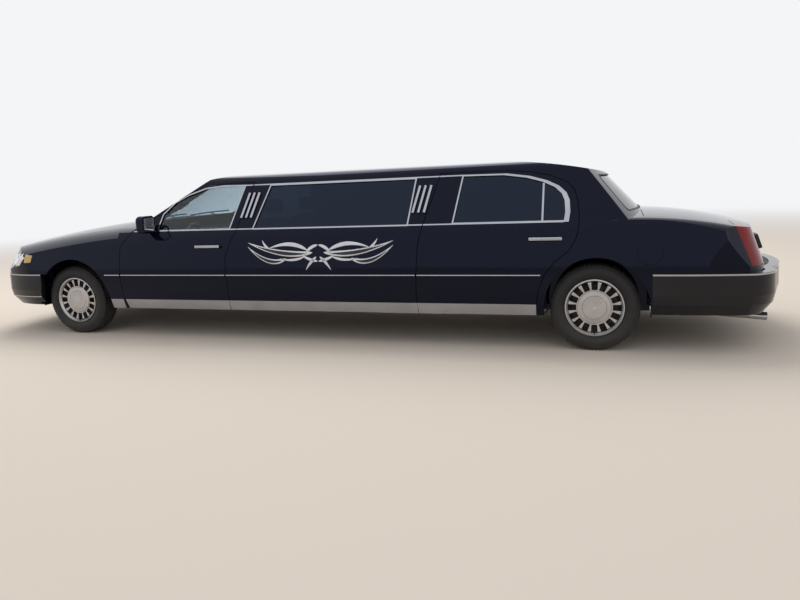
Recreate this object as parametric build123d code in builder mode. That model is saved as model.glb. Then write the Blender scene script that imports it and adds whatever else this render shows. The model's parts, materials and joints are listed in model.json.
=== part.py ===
from build123d import *
import math
import os

os.makedirs("parts", exist_ok=True)

# Stretch limousine. X runs rearwards, Y to the car's right and Z up from the ground; millimetres.
# Stations are counted from the front axle with fx and from the rear axle with rx.
wheelbase = 4895
front_overhang = 1059
rear_overhang = 1405
front_axle_x = (front_overhang - wheelbase - rear_overhang) / 2
rear_axle_x = front_axle_x + wheelbase
nose_x = front_axle_x - front_overhang
tail_x = rear_axle_x + rear_overhang

# Body section: heights, and widths as insets from the widest line
half_width = 985
sill_z = 272
sill_inset = 49
rocker_top_z = 361
rocker_inset = 21
widest_z = 600
shoulder_z = 850
shoulder_inset = 23
belt_z = 985
belt_inset = 80
rail_z = 1381
rail_inset = 203
roof_z = 1473
belt_y = half_width - belt_inset
rail_y = belt_y - rail_inset
glass_lean = rail_inset / (rail_z - belt_z)

# Walls, gaps and floor
wall = 110
upper_wall = 44
skin = 35
door_gap = 5
panel_gap = 5
stop_gap = 0.3
floor_z = 306
floor_thick = 22
floor_top = floor_z + floor_thick
tunnel_front_half = 160
tunnel_front_z = 585
tunnel_half = 100
tunnel_z = 425
tunnel_wall = 18
cabin_half = half_width - wall
outside_y = half_width + 25
far_y = half_width + 415

# Bumpers and trim
bumper_top_z = 600
bumper_fold_z = 440
bumper_line_z = 372
bumper_low_z = 285
bumper_wall = 70
moulding_low_z = 572
moulding_top_z = 597
moulding_depth = 8
moulding_root = 10
trim_depth = 3
trim_width = 12
glass_near = 8
glass_thick = 5

# Wheels, tyres and axles
tyre_radius = 334
tyre_width = 222
rim_radius = 222
rim_seat = 203
rim_half = 88
axle_z = tyre_radius
front_track = 1610
rear_track = 1666
spindle_radius = 27
running_gap = 0.05
kingpin_radius = 11
kingpin_y = front_track / 2 - 105

# Wheel houses: the arch in the skin, and the wider house behind it
front_arch_x = front_axle_x + 54
front_arch_radius = 408
front_house_x = front_axle_x + 22
front_house_radius = 444
front_house_y = front_track / 2 - 285
rear_arch_x = rear_axle_x + 12
rear_arch_radius = 388
rear_house_radius = rear_arch_radius + 12
rear_house_y = rear_track / 2 - 143
tub_y = rear_house_y - 35
arch_lip = 50
liner_thick = 12

# Hood, boot and lamps
hood_half = half_width - 250
boot_half = half_width - 195
nose_lean = 28
tail_lean = 20
lean_start_z = 640
lean_top_z = 1100
lid_low_z = 648
head_lamp_inner_y = 392
tail_lamp_inner_y = 560


def fx(x):
    return front_axle_x + x


def rx(x):
    return rear_axle_x + x


def outset(points, gap):
    # Moves every edge of a closed outline outwards by the gap and meets the edges again.
    area = sum(a[0] * b[1] - b[0] * a[1] for a, b in zip(points, points[1:] + points[:1]))
    turn = 1 if area > 0 else -1
    lines = []
    for a, b in zip(points, points[1:] + points[:1]):
        run = math.hypot(b[0] - a[0], b[1] - a[1])
        normal = (turn * (b[1] - a[1]) / run, -turn * (b[0] - a[0]) / run)
        lines.append((a[0] + normal[0] * gap, a[1] + normal[1] * gap, b[0] - a[0], b[1] - a[1]))
    moved = []
    for first, second in zip(lines[-1:] + lines[:-1], lines):
        cross = first[2] * second[3] - first[3] * second[2]
        along = ((second[0] - first[0]) * second[3] - (second[1] - first[1]) * second[2]) / cross
        moved.append((first[0] + along * first[2], first[1] + along * first[3]))
    return moved


def side_prism(points, near, far):
    # A side-view outline as a block between two distances to the car's left.
    with BuildPart() as block:
        with BuildSketch(Plane.XZ.offset(near)):
            Polygon(*points, align=None)
        extrude(amount=far - near)
    return block.part


def box_between(low, high):
    # A box from its low corner to its high corner.
    size = [b - a for a, b in zip(low, high)]
    with BuildPart() as block:
        with Locations(tuple((a + b) / 2 for a, b in zip(low, high))):
            Box(*size)
    return block.part


def both_sides(shape):
    # The left piece and its mirror image.
    with BuildPart() as pair:
        add(shape)
        mirror(about=Plane.XZ)
    return pair.part


def skin_y(z):
    # Distance of the body's side from the centre line at a height.
    if z > belt_z:
        return belt_y - glass_lean * (z - belt_z)
    if z > shoulder_z:
        slope = (belt_inset - shoulder_inset) / (belt_z - shoulder_z)
        return half_width - shoulder_inset - (z - shoulder_z) * slope
    return half_width - shoulder_inset * ((z - widest_z) / (shoulder_z - widest_z)) ** 2


def draft_band(face, low_z, low_inset, top_z, top_inset):
    # A plan outline carried between two heights, drawn in by an inset at each.
    with BuildPart() as band:
        for z, inset in ((low_z, low_inset), (top_z, top_inset)):
            with BuildSketch(Plane.XY.offset(z)):
                add(face)
                if inset:
                    offset(amount=-inset)
        loft(ruled=True)
    return band.part


# Door cuts: x, z, and whether that corner is on the trailing edge, which is bevelled so that the
# door's inner side swings clear of the pillar.
front_door_outline = [(fx(x), z, trailing) for x, z, trailing in (
    (658, sill_z - 12, False), (623, 432, False), (618, 594, False), (641, 854, False),
    (749, belt_z + 1, False), (1040, 1150, False), (1115, 1218, False), (1278, 1303, False),
    (1358, 1342, False), (1526, 1378, False), (1700, rail_z + 9, False), (1951, rail_z + 11, True),
    (1849, belt_z, True), (1800, 869, True), (1750, 748, True), (1750, sill_z - 12, True),
)]
rear_door_outline = [(rx(x), z, trailing) for x, z, trailing in (
    (-1383, sill_z - 12, False), (-1390, 400, False), (-1381, 616, False), (-1366, 830, False),
    (-1334, belt_z + 1, False), (-1218, rail_z + 11, False), (-695, rail_z + 10, False), (-495, 1372, False),
    (-335, 1338, True), (-206, 1281, True), (-157, 1225, True), (-131, 1145, True),
    (-118, 1046, True), (-120, 969, True), (-138, 870, True), (-187, 782, True),
    (-295, 694, True), (-373, 590, True), (-417, 480, True), (-433, rocker_top_z, True),
    (-433, sill_z - 12, True),
)]
bevel = 0.27
bevel_near = half_width - 425


def door_block(outline, gap):
    grown = outset([(x, z) for x, z, trailing in outline], gap)
    with BuildPart() as block:
        for depth in (outside_y, bevel_near):
            ring = []
            for (x, z), (_, z0, trailing) in zip(grown, outline):
                shift = bevel * (depth - skin_y(z0)) if trailing else 0
                ring.append((x + shift, z))
            with BuildSketch(Plane.XZ.offset(depth)):
                Polygon(*ring, align=None)
        loft(ruled=True)
    return block.part


# Window cuts in side view
front_window = [(fx(x), z) for x, z in (
    (1032, 1000), (1060, 1136), (1165, 1236), (1293, 1299), (1465, 1352), (1640, 1368),
    (1862, 1364), (1776, 1000),
)]
middle_window = [(fx(2022), 997), (fx(2130), 1357), (rx(-1433), 1357), (rx(-1471), 997)]
rear_window = [(rx(x), z) for x, z in (
    (-1084, 1002), (-1027, 1362), (-707, 1358), (-525, 1331), (-391, 1292), (-302, 1249), (-249, 1200),
    (-226, 1148), (-219, 1063), (-227, 1002),
)]

# Outer form: the side section run along the car, cut to the plan, the leaning ends, the hood and the boot.
with BuildPart() as section_run:
    with BuildSketch(Plane.YZ.offset(nose_x)):
        with BuildLine():
            rocker = (half_width - rocker_inset, rocker_top_z)
            shoulder = (half_width - shoulder_inset, shoulder_z)
            Polyline((0, sill_z), (half_width - sill_inset, sill_z), rocker)
            flank = ThreePointArc(rocker, (half_width, widest_z), shoulder)
            TangentArc(shoulder, (belt_y, belt_z), tangent=flank % 1)
            Polyline((belt_y, belt_z), (belt_y, roof_z), (0, roof_z), (0, sill_z))
        make_face()
        mirror(about=Plane.YZ)
    extrude(amount=tail_x - nose_x)

# Plan of the nose and the tail: flat of the front or back, then the corner, in stations and half widths
nose_flat_y = half_width - 345
tail_flat_y = half_width - 385
nose_corner = ((fx(-978), nose_flat_y), (fx(-900), half_width - 190), (fx(-780), half_width - 85))
tail_corner = ((rx(1190), tail_flat_y), (rx(1150), half_width - 195), (rx(1055), half_width - 70))


def nose_line():
    ThreePointArc((fx(-1035), 0), (fx(-1022), nose_flat_y / 2), nose_corner[0])
    ThreePointArc(*nose_corner)


def tail_line():
    ThreePointArc(*reversed(tail_corner))
    ThreePointArc(tail_corner[0], (rx(1247), tail_flat_y / 2), (rx(1270), 0))


with BuildPart() as plan_run:
    with BuildSketch(Plane.XY.offset(sill_z)):
        with BuildLine():
            nose_line()
            ThreePointArc(nose_corner[2], (fx(-640), half_width - 33), (fx(-440), half_width + 5))
            Line((fx(-440), half_width + 5), (rx(605), half_width + 5))
            ThreePointArc((rx(605), half_width + 5), (rx(860), half_width - 14), tail_corner[2])
            tail_line()
            Line((rx(1270), 0), (fx(-1035), 0))
        make_face()
        mirror(about=Plane.XZ)
    extrude(amount=roof_z - sill_z)

with BuildSketch() as nose_plan:
    with BuildLine():
        nose_line()
        Polyline(nose_corner[2], (fx(-560), half_width + 75), (fx(-560), far_y), (tail_x, far_y), (tail_x, 0),
                 (fx(-1035), 0))
    make_face()
    mirror(about=Plane.XZ)
with BuildSketch() as tail_plan:
    with BuildLine():
        tail_line()
        Polyline((rx(1270), 0), (nose_x, 0), (nose_x, far_y), (rx(930), far_y), (rx(930), half_width + 45),
                 tail_corner[2])
    make_face()
    mirror(about=Plane.XZ)


def leaning_form(plan, lean):
    # Upright up to the lamps' foot, and drawn in by the lean above it.
    top_inset = (lean_top_z - lean_start_z) * math.tan(math.radians(lean))
    with BuildPart() as form:
        add(draft_band(plan, sill_z, 0, lean_start_z, 0))
        add(draft_band(plan, lean_start_z, 0, lean_top_z, top_inset))
    return form.part


with BuildPart() as profile_run:
    with BuildSketch(Plane.XZ.offset(-outside_y)):
        with BuildLine():
            Line((fx(-1035), sill_z), (fx(-1035), lean_start_z))
            ThreePointArc((fx(-1035), lean_start_z), (fx(-965), 790), (fx(-820), 905))
            Polyline((fx(-820), 905), (fx(-600), roof_z), (tail_x, roof_z), (tail_x, sill_z),
                     (fx(-1035), sill_z))
        make_face()
    extrude(amount=2 * outside_y)

# The hood and the boot are barrel forms: a crowned section turned about a far cross axis.
# top: height of the crown's summit, at: its station, bow: long radius, edge/drop: shoulder point
barrels = (
    {"top": 1098, "at": fx(1178), "bow": 11000, "edge": half_width - 245, "drop": 68, "side": 190,
     "from": fx(-1150), "to": fx(900)},
    {"top": 1039, "at": rx(259), "bow": 3200, "edge": half_width - 135, "drop": 32, "side": 150,
     "from": rx(105), "to": rx(1505)},
)
caps = []
for b in barrels:
    turn_start = math.degrees(math.asin((b["from"] - b["at"]) / b["bow"]))
    turn_end = math.degrees(math.asin((b["to"] - b["at"]) / b["bow"]))
    hub = (b["at"], 0, b["top"] - b["bow"])
    shoulder = (b["edge"], b["bow"] - b["drop"])
    side = (half_width + 5, b["bow"] - b["side"])
    with BuildPart() as cap:
        with BuildSketch(Plane(origin=hub, x_dir=(0, 1, 0), z_dir=(1, 0, 0)).rotated((0, turn_start, 0))):
            with BuildLine():
                crown = ThreePointArc((0, b["bow"]), (b["edge"] / 2, b["bow"] - b["drop"] / 4), shoulder)
                TangentArc(shoulder, side, tangent=crown % 1)
                Polyline(side, (side[0], b["bow"] - 900), (0, b["bow"] - 900), (0, b["bow"]))
            make_face()
            mirror(about=Plane.YZ)
        revolve(axis=Axis(hub, (0, 1, 0)), revolution_arc=turn_end - turn_start)
    caps.append(cap.part)

middle_block = box_between((fx(600), -outside_y, belt_z - 800), (rx(405), outside_y, belt_z))

with BuildPart() as lower_form:
    add(caps[0])
    add(caps[1])
    add(middle_block)
    add(section_run.part, mode=Mode.INTERSECT)
    add(plan_run.part, mode=Mode.INTERSECT)
    add(leaning_form(nose_plan.sketch, nose_lean), mode=Mode.INTERSECT)
    add(leaning_form(tail_plan.sketch, tail_lean), mode=Mode.INTERSECT)
    add(profile_run.part, mode=Mode.INTERSECT)

# Cabin above the belt: leaning sides, crowned roof, raked and bowed windscreen and rear window.
# foot/head: station and height on the middle line, reach: how far the space behind runs
screen = {"foot": (fx(590), 1000), "head": (fx(1287), 1378), "reach": rx(895) - fx(590), "bow": 185}
backlight = {"foot": (rx(395), 1000), "head": (rx(95), 1320), "reach": fx(90) - rx(395), "bow": 185}
cabin_foot_z = belt_z - 60
pane_y = belt_y + 45


def raked_block(pane, inset):
    # The space behind a bowed sheet that leans from foot to head; inset moves it inwards.
    foot, head, reach = pane["foot"], pane["head"], pane["reach"]
    sign = math.copysign(1, reach)
    run = (head[0] - foot[0], head[1] - foot[1])
    scale = math.hypot(*run)
    push = sign * inset * scale / run[1]
    low = foot[0] + run[0] * (sill_z - foot[1]) / run[1] + push
    side = low + sign * pane["bow"]
    with BuildPart() as block:
        with BuildSketch(Plane.XY.offset(sill_z)):
            with BuildLine():
                ThreePointArc((side, pane_y), (low, 0), (side, -pane_y))
                Polyline((side, -pane_y), (low + reach, -pane_y), (low + reach, pane_y), (side, pane_y))
            make_face()
        extrude(amount=(roof_z + skin - sill_z) * scale / run[1], dir=(run[0], 0, run[1]))
    return block.part


def cabin_form(inset, low_z):
    lean = math.hypot(1, glass_lean)
    foot_y = belt_y + glass_lean * (belt_z - low_z) - inset * lean
    head_y = rail_y - inset * lean
    crown_z = roof_z - inset
    with BuildPart() as form:
        with BuildSketch(Plane.YZ.offset(fx(0))):
            with BuildLine():
                roof_edge = (head_y - 82, crown_z - 17)
                Polyline((0, low_z), (foot_y, low_z), (head_y, rail_z))
                ThreePointArc((head_y, rail_z), (head_y - 32, rail_z + 45 - inset * 0.6), roof_edge)
                ThreePointArc(roof_edge, (head_y / 2, crown_z - 3.5), (0, crown_z))
                Line((0, crown_z), (0, low_z))
            make_face()
            mirror(about=Plane.YZ)
        extrude(amount=wheelbase + 1105)
        with BuildSketch(Plane.XZ.offset(-outside_y)):
            with BuildLine():
                Polyline((fx(300), sill_z), (fx(300), 1150 - inset), (fx(1100), 1345 - inset))
                ThreePointArc((fx(1100), 1345 - inset), (fx(1500), 1439 - inset), (fx(2050), crown_z + 1))
                Line((fx(2050), crown_z + 1), (rx(-995), crown_z + 1))
                ThreePointArc((rx(-995), crown_z + 1), (rx(-441), 1444 - inset), (rx(65), 1352 - inset))
                Polyline((rx(65), 1352 - inset), (rx(605), 1150 - inset), (rx(605), sill_z),
                         (fx(300), sill_z))
            make_face()
        extrude(amount=2 * outside_y, mode=Mode.INTERSECT)
        add(raked_block(screen, inset), mode=Mode.INTERSECT)
        add(raked_block(backlight, inset), mode=Mode.INTERSECT)
    return form.part


# Window openings seen along the car
screen_opening = [(-belt_y + 170, 1075), (belt_y - 170, 1075), (rail_y - 98, 1412), (-rail_y + 98, 1412)]
rear_opening = [(-belt_y + 165, 1052), (belt_y - 165, 1052), (rail_y - 92, 1330), (-rail_y + 92, 1330)]

# Wheel houses: the arch through the skin and the wider house behind it, at each corner
arches = (
    {"arch_x": front_arch_x, "arch": front_arch_radius, "house_x": front_house_x, "house": front_house_radius,
     "inner": front_house_y},
    {"arch_x": rear_arch_x, "arch": rear_arch_radius, "house_x": rear_arch_x, "house": rear_house_radius,
     "inner": rear_house_y},
)
house_outer_y = half_width - arch_lip
with BuildPart() as wheel_houses:
    for a in arches:
        with BuildSketch(Plane.XZ.offset(house_outer_y - 5)):
            with Locations((a["arch_x"], axle_z)):
                Circle(a["arch"])
        extrude(amount=outside_y - house_outer_y + 5)
        with BuildSketch(Plane.XZ.offset(a["inner"])):
            with Locations((a["house_x"], axle_z)):
                Circle(a["house"])
        extrude(amount=house_outer_y - a["inner"])
    mirror(about=Plane.XZ)

# Moving-lid cuts in side view
hood_side = [(fx(x), z) for x, z in (
    (-1100, 757), (-1100, 1300), (655, 1300), (655, 940), (-700, 800), (-900, 757),
)]
boot_side = [(rx(x), z) for x, z in (
    (347, 1300), (1505, 1300), (1505, lid_low_z), (1005, lid_low_z), (347, 900),
)]


def lid_cut(points, half, gap):
    return side_prism(outset(points, gap), -half - gap, half + gap)


# Hollow of the cabin, with tubs left over the rear wheels
with BuildPart() as door_inner:
    with BuildSketch(Plane.YZ.offset(fx(600))):
        Polygon((-cabin_half, sill_z - 72), (cabin_half, sill_z - 72), (cabin_half, belt_z - 30),
                (belt_y - upper_wall, belt_z), (-belt_y + upper_wall, belt_z), (-cabin_half, belt_z - 30),
                align=None)
    extrude(amount=wheelbase - 495)
    add(cabin_form(upper_wall, belt_z - 30))
    tub = box_between((rx(-445), -half_width, sill_z - 100), (rx(255), -tub_y, 780))
    add(both_sides(tub), mode=Mode.SUBTRACT)

# Hollow of the boot between the tubs and the tail panel
boot_wall_x = rx(1110)
boot_floor_z = 462
with BuildPart() as boot_space:
    add(side_prism([(rx(165), boot_floor_z + 8), (boot_wall_x, boot_floor_z + 8),
                    (boot_wall_x, lid_low_z + 60), (rx(1060), 930), (rx(365), 990), (rx(165), 960)],
                   -tub_y - 45, tub_y + 45))
    tub = box_between((rx(-425), -half_width, sill_z - 100), (rx(435), -tub_y, 780))
    add(both_sides(tub), mode=Mode.SUBTRACT)
    add(lower_form.part.moved(Location((-skin, 0, -skin))), mode=Mode.INTERSECT)

front_doors_cut = both_sides(door_block(front_door_outline, door_gap))
rear_doors_cut = both_sides(door_block(rear_door_outline, door_gap))

# Lamps, cut as corner pieces out of the outer form: side-view outlines
head_lamp_outline = [(fx(x), z) for x, z in (
    (-1100, 626), (-860, 640), (-596, 677), (-507, 757), (-523, 806), (-800, 790), (-955, 752), (-1100, 752),
)]
tail_lamp_outline = [(rx(x), z) for x, z in (
    (956, 990), (1425, 990), (1425, lid_low_z), (1071, lid_low_z), (958, 928),
)]


def corner_lamp(outline, inner_y, gap):
    return side_prism(outset(outline, gap), inner_y - gap, outside_y)


# Body shell: roof, pillars, cowl, stretch panels, quarter panels and tail, one welded body.
lap_box = box_between((fx(450), -outside_y, 150), (fx(750), -half_width + 85, 1050))
fuel_door_x = rx(385)
fuel_door_z = 757
fuel_door_radius = 90
groove = 4

with BuildPart() as shell_solid:
    add(lower_form.part)
    add(cabin_form(0, cabin_foot_z))
    add(door_inner.part, mode=Mode.SUBTRACT)
    add(boot_space.part, mode=Mode.SUBTRACT)

with BuildPart() as body_shell:
    add(shell_solid.part)
    # Everything ahead of the firewall belongs to the wings, the hood and the nose.
    add(box_between((nose_x, -far_y, 0), (fx(555), far_y, 1400)), mode=Mode.SUBTRACT)
    add(lid_cut(hood_side, hood_half, panel_gap), mode=Mode.SUBTRACT)
    add(lid_cut(boot_side, boot_half, panel_gap), mode=Mode.SUBTRACT)
    add(front_doors_cut, mode=Mode.SUBTRACT)
    add(rear_doors_cut, mode=Mode.SUBTRACT)
    add(wheel_houses.part, mode=Mode.SUBTRACT)
    add(both_sides(corner_lamp(tail_lamp_outline, tail_lamp_inner_y, 0)), mode=Mode.SUBTRACT)
    add(both_sides(side_prism(middle_window, bevel_near, outside_y)), mode=Mode.SUBTRACT)
    # The wings lap over the hinge pillars as far back as the doors.
    add(both_sides(lap_box), mode=Mode.SUBTRACT)
    # Windscreen and rear window openings, seen from the front and the rear.
    with BuildSketch(Plane.YZ.offset(fx(500))):
        Polygon(*screen_opening, align=None)
    extrude(amount=1400, mode=Mode.SUBTRACT)
    with BuildSketch(Plane.YZ.offset(rx(-245))):
        Polygon(*rear_opening, align=None)
    extrude(amount=700, mode=Mode.SUBTRACT)
    # Underside: the floor, the frame and the axle pass below the shell.
    add(side_prism([(rx(-695), 100), (rx(-695), floor_top), (rx(-395), floor_top), (rx(-270), 582),
                    (rx(305), 582), (rx(405), boot_floor_z), (rx(1705), boot_floor_z), (rx(1705), 100)],
                   -tub_y, tub_y),
        mode=Mode.SUBTRACT)
    add(box_between((fx(490), -cabin_half, floor_z - 200), (fx(630), cabin_half, floor_z)),
        mode=Mode.SUBTRACT)
    add(box_between((fx(490), -tunnel_front_half, 400 - (tunnel_front_z - 400)),
                    (fx(630), tunnel_front_half, tunnel_front_z)), mode=Mode.SUBTRACT)
    add(box_between((rx(-75), -tub_y - 45, 195), (rx(75), tub_y + 45, 485)), mode=Mode.SUBTRACT)
    # Room for the rear bumper, and the round groove of the filler door.
    add(box_between((rx(407), -far_y, 0), (tail_x, far_y, bumper_top_z)), mode=Mode.SUBTRACT)
    with BuildSketch(Plane.XZ.offset(skin_y(fuel_door_z) - groove)):
        with Locations((fuel_door_x, fuel_door_z)):
            Circle(fuel_door_radius)
            Circle(fuel_door_radius - groove, mode=Mode.SUBTRACT)
    extrude(amount=outside_y, mode=Mode.SUBTRACT)

    # Side mouldings, and the stops that the closed boot lid rests on.
    moulding = box_between((fx(1756), -half_width - moulding_depth, moulding_low_z),
                           (rx(-1391), -half_width + moulding_root, moulding_top_z))
    add(both_sides(moulding))
    stop = box_between((rx(1150), -430, lid_low_z - panel_gap - 1), (rx(1176), -370, lid_low_z - stop_gap))
    add(both_sides(stop))
body_shell.part.label = "body_shell"
export_step(body_shell.part, "parts/body_shell.step")

# Bumpers: covers round the nose and the tail in bands that tuck in under the widest line
# low/top: heights of a band, each with its inset from the plan outline
bumper_bands = (
    {"low": bumper_fold_z, "low_in": 0, "top": bumper_top_z, "top_in": 6},
    {"low": bumper_line_z, "low_in": 14, "top": bumper_fold_z, "top_in": 0},
    {"low": bumper_low_z, "low_in": 80, "top": bumper_line_z, "top_in": 14},
)
front_bumper_end = fx(-330)
rear_bumper_end = rx(407)
with BuildSketch() as front_bumper_plan:
    with BuildLine():
        corner_start = (fx(-1001), nose_flat_y)
        corner_end = (fx(-790), half_width - 76)
        side_end = (front_bumper_end, half_width + 3)
        ThreePointArc((nose_x, 0), (nose_x + 13, nose_flat_y / 2), corner_start)
        ThreePointArc(corner_start, (fx(-912), half_width - 180), corner_end)
        ThreePointArc(corner_end, (fx(-640), half_width - 24), side_end)
        Polyline(side_end, (fx(200), half_width + 3), (fx(200), 0), (nose_x, 0))
    make_face()
    mirror(about=Plane.XZ)
with BuildSketch() as rear_bumper_plan:
    with BuildLine():
        corner_start = (rx(1262), tail_flat_y)
        corner_end = (rx(1075), half_width - 35)
        side_end = (rear_bumper_end, half_width + 3)
        ThreePointArc((tail_x, 0), (tail_x - 32, tail_flat_y / 2), corner_start)
        ThreePointArc(corner_start, (rx(1205), half_width - 130), corner_end)
        ThreePointArc(corner_end, (rx(800), half_width - 4), side_end)
        Polyline(side_end, (rx(-100), half_width + 3), (rx(-100), 0), (tail_x, 0))
    make_face()
    mirror(about=Plane.XZ)


def bumper_form(plan, shrink):
    with BuildPart() as form:
        for b in bumper_bands:
            add(draft_band(plan, b["low"], b["low_in"] + shrink, b["top"], b["top_in"] + shrink))
    return form.part


def bumper_strip(plan, region, low, top, inset):
    # A bright strip round a bumper, standing proud of a band that lies at an inset from the plan.
    with BuildPart() as strip:
        add(draft_band(plan, low, inset - trim_depth, top, inset - trim_depth))
        add(bumper_form(plan, 0), mode=Mode.SUBTRACT)
        add(draft_band(plan, low, inset + bumper_wall / 2, top, inset + bumper_wall / 2), mode=Mode.SUBTRACT)
        add(region, mode=Mode.INTERSECT)
        add(wheel_houses.part, mode=Mode.SUBTRACT)
    return strip.part


front_bumper_region = box_between((nose_x - 20, -far_y, 0), (front_bumper_end, far_y, 700))
rear_bumper_region = box_between((rear_bumper_end, -far_y, 0), (tail_x + 20, far_y, 700))
with BuildPart() as front_bumper:
    add(bumper_form(front_bumper_plan.sketch, 0))
    add(bumper_form(front_bumper_plan.sketch, bumper_wall), mode=Mode.SUBTRACT)
    add(front_bumper_region, mode=Mode.INTERSECT)
    add(wheel_houses.part, mode=Mode.SUBTRACT)
front_bumper.part.label = "front_bumper"
export_step(front_bumper.part, "parts/front_bumper.step")
with BuildPart() as rear_bumper:
    add(bumper_form(rear_bumper_plan.sketch, 0))
    add(bumper_form(rear_bumper_plan.sketch, bumper_wall), mode=Mode.SUBTRACT)
    add(rear_bumper_region, mode=Mode.INTERSECT)
    add(wheel_houses.part, mode=Mode.SUBTRACT)
rear_bumper.part.label = "rear_bumper"
export_step(rear_bumper.part, "parts/rear_bumper.step")

# Front wings with their inner aprons and the liners round the wheels
wing_inner_y = half_width - 240

with BuildPart() as wing_zone:
    add(box_between((fx(-1045), -outside_y, 200), (fx(555), -wing_inner_y, 1300)))
    add(lap_box)
    add(box_between((fx(-795), -wing_inner_y, 780), (fx(555), -wing_inner_y + 185, 820)))

with BuildPart() as wing_liner:
    with BuildSketch(Plane.XZ.offset(front_house_y + 5)):
        with Locations((front_house_x, axle_z)):
            Circle(front_house_radius + liner_thick)
            Circle(front_house_radius, mode=Mode.SUBTRACT)
    extrude(amount=half_width - 100 - front_house_y - 5)
    add(box_between((nose_x, -far_y, sill_z), (tail_x, 0, roof_z)), mode=Mode.INTERSECT)

with BuildPart() as front_wings:
    add(lower_form.part)
    add(wing_zone.part, mode=Mode.INTERSECT)
    # Room for the bumper ahead of the wheel
    add(box_between((nose_x, -far_y, 0), (fx(-60), 0, bumper_top_z)), mode=Mode.SUBTRACT)
    add(wing_liner.part)
    add(front_bumper.part, mode=Mode.SUBTRACT)
    add(wheel_houses.part, mode=Mode.SUBTRACT)
    add(front_doors_cut, mode=Mode.SUBTRACT)
    add(box_between((fx(555), -half_width + 85, 0), (rx(0), half_width, roof_z)), mode=Mode.SUBTRACT)
    add(lid_cut(hood_side, hood_half, panel_gap), mode=Mode.SUBTRACT)
    add(corner_lamp(head_lamp_outline, head_lamp_inner_y, 0), mode=Mode.SUBTRACT)
    add(box_between((fx(441), -half_width - moulding_depth, moulding_low_z),
                    (fx(616), -half_width + moulding_root, moulding_top_z)))
    mirror(about=Plane.XZ)
front_wings.part.label = "front_wings"
export_step(front_wings.part, "parts/front_wings.step")

# Hood and boot lid: the skin of the outer form inside each cut
with BuildPart() as hood:
    add(lower_form.part)
    add(lid_cut(hood_side, hood_half, 0), mode=Mode.INTERSECT)
    add(lower_form.part.moved(Location((skin, 0, -skin))), mode=Mode.SUBTRACT)
hood.part.label = "hood"
export_step(hood.part, "parts/hood.step")

with BuildPart() as boot_lid:
    add(lower_form.part)
    add(lid_cut(boot_side, boot_half, 0), mode=Mode.INTERSECT)
    add(both_sides(corner_lamp(tail_lamp_outline, tail_lamp_inner_y, panel_gap)), mode=Mode.SUBTRACT)
    add(lower_form.part.moved(Location((-skin, 0, -skin))), mode=Mode.SUBTRACT)
boot_lid.part.label = "boot_lid"
export_step(boot_lid.part, "parts/boot_lid.step")

# Lamps: clear corner lenses at the front, open to the back, and closed red ones at the rear
lens = 9
with BuildPart() as lamp_hollow:
    add(lower_form.part.moved(Location((lens, lens, -lens))))
    add(side_prism(outset(head_lamp_outline, -lens), 0, outside_y), mode=Mode.INTERSECT)
with BuildPart() as headlamps:
    add(lower_form.part)
    add(corner_lamp(head_lamp_outline, head_lamp_inner_y, 0), mode=Mode.INTERSECT)
    add(lid_cut(hood_side, hood_half, panel_gap), mode=Mode.SUBTRACT)
    add(lamp_hollow.part, mode=Mode.SUBTRACT)
    mirror(about=Plane.XZ)
headlamps.part.label = "headlamps"
export_step(headlamps.part, "parts/headlamps.step")

with BuildPart() as tail_lamps:
    add(lower_form.part)
    add(corner_lamp(tail_lamp_outline, tail_lamp_inner_y, 0), mode=Mode.INTERSECT)
    add(boot_space.part, mode=Mode.SUBTRACT)
    mirror(about=Plane.XZ)
tail_lamps.part.label = "tail_lamps"
export_step(tail_lamps.part, "parts/tail_lamps.step")

# Radiator panel behind the grille: ties wings, lamps and bumper
panel_x = fx(-860)
panel_thick = 40
grille_x = fx(-1008)
grille_depth = 50
with BuildPart() as radiator_panel:
    add(box_between((panel_x, -690, 290), (panel_x + panel_thick, 690, 610)))
    add(box_between((panel_x, -wing_inner_y, 608), (panel_x + panel_thick, wing_inner_y, 752)))
    # Rubber stops that the closed hood rests on
    with Locations((panel_x + panel_thick / 2, -500, 750), (panel_x + panel_thick / 2, 500, 750)):
        Cylinder(15, 140, align=(Align.CENTER, Align.CENTER, Align.MIN))
    add(hood.part.moved(Location((0, 0, -stop_gap))), mode=Mode.SUBTRACT)
    add(lower_form.part.moved(Location((skin, 0, -skin - stop_gap))), mode=Mode.INTERSECT)
    add(headlamps.part, mode=Mode.SUBTRACT)
    add(front_bumper.part, mode=Mode.SUBTRACT)
    # Bracket that carries the grille
    add(box_between((grille_x + grille_depth / 2, -340, 648), (panel_x, 340, 708)))
radiator_panel.part.label = "radiator_panel"
export_step(radiator_panel.part, "parts/radiator_panel.step")

# Grille: a bright frame with upright bars, leaning with the nose
grille_half = 380
grille_low = 606
grille_top = 748
grille_border = 22
bar_count = 19
with BuildPart() as grille:
    with Locations((grille_x, 0, (grille_low + grille_top) / 2)):
        Box(grille_depth, 2 * grille_half, grille_top - grille_low)
        Box(grille_depth, 2 * (grille_half - grille_border), grille_top - grille_low - 2 * grille_border + 4,
            mode=Mode.SUBTRACT)
    with Locations((grille_x + 7, 0, (grille_low + grille_top) / 2)):
        with GridLocations(0, 2 * (grille_half - grille_border) / bar_count, 1, bar_count):
            Box(grille_depth - 14, 9, grille_top - grille_low)
    with BuildSketch(Plane.XZ.offset(-grille_half)):
        Polygon((grille_x - 60, grille_low), (grille_x - 25, grille_low), (grille_x + 30, grille_top),
                (grille_x - 60, grille_top), align=None)
    extrude(amount=2 * grille_half, mode=Mode.SUBTRACT)
    add(radiator_panel.part, mode=Mode.SUBTRACT)
grille.part.label = "grille"
export_step(grille.part, "parts/grille.step")


# Doors
def skin_lean(z):
    return belt_y - glass_lean * (z - belt_z)


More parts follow.
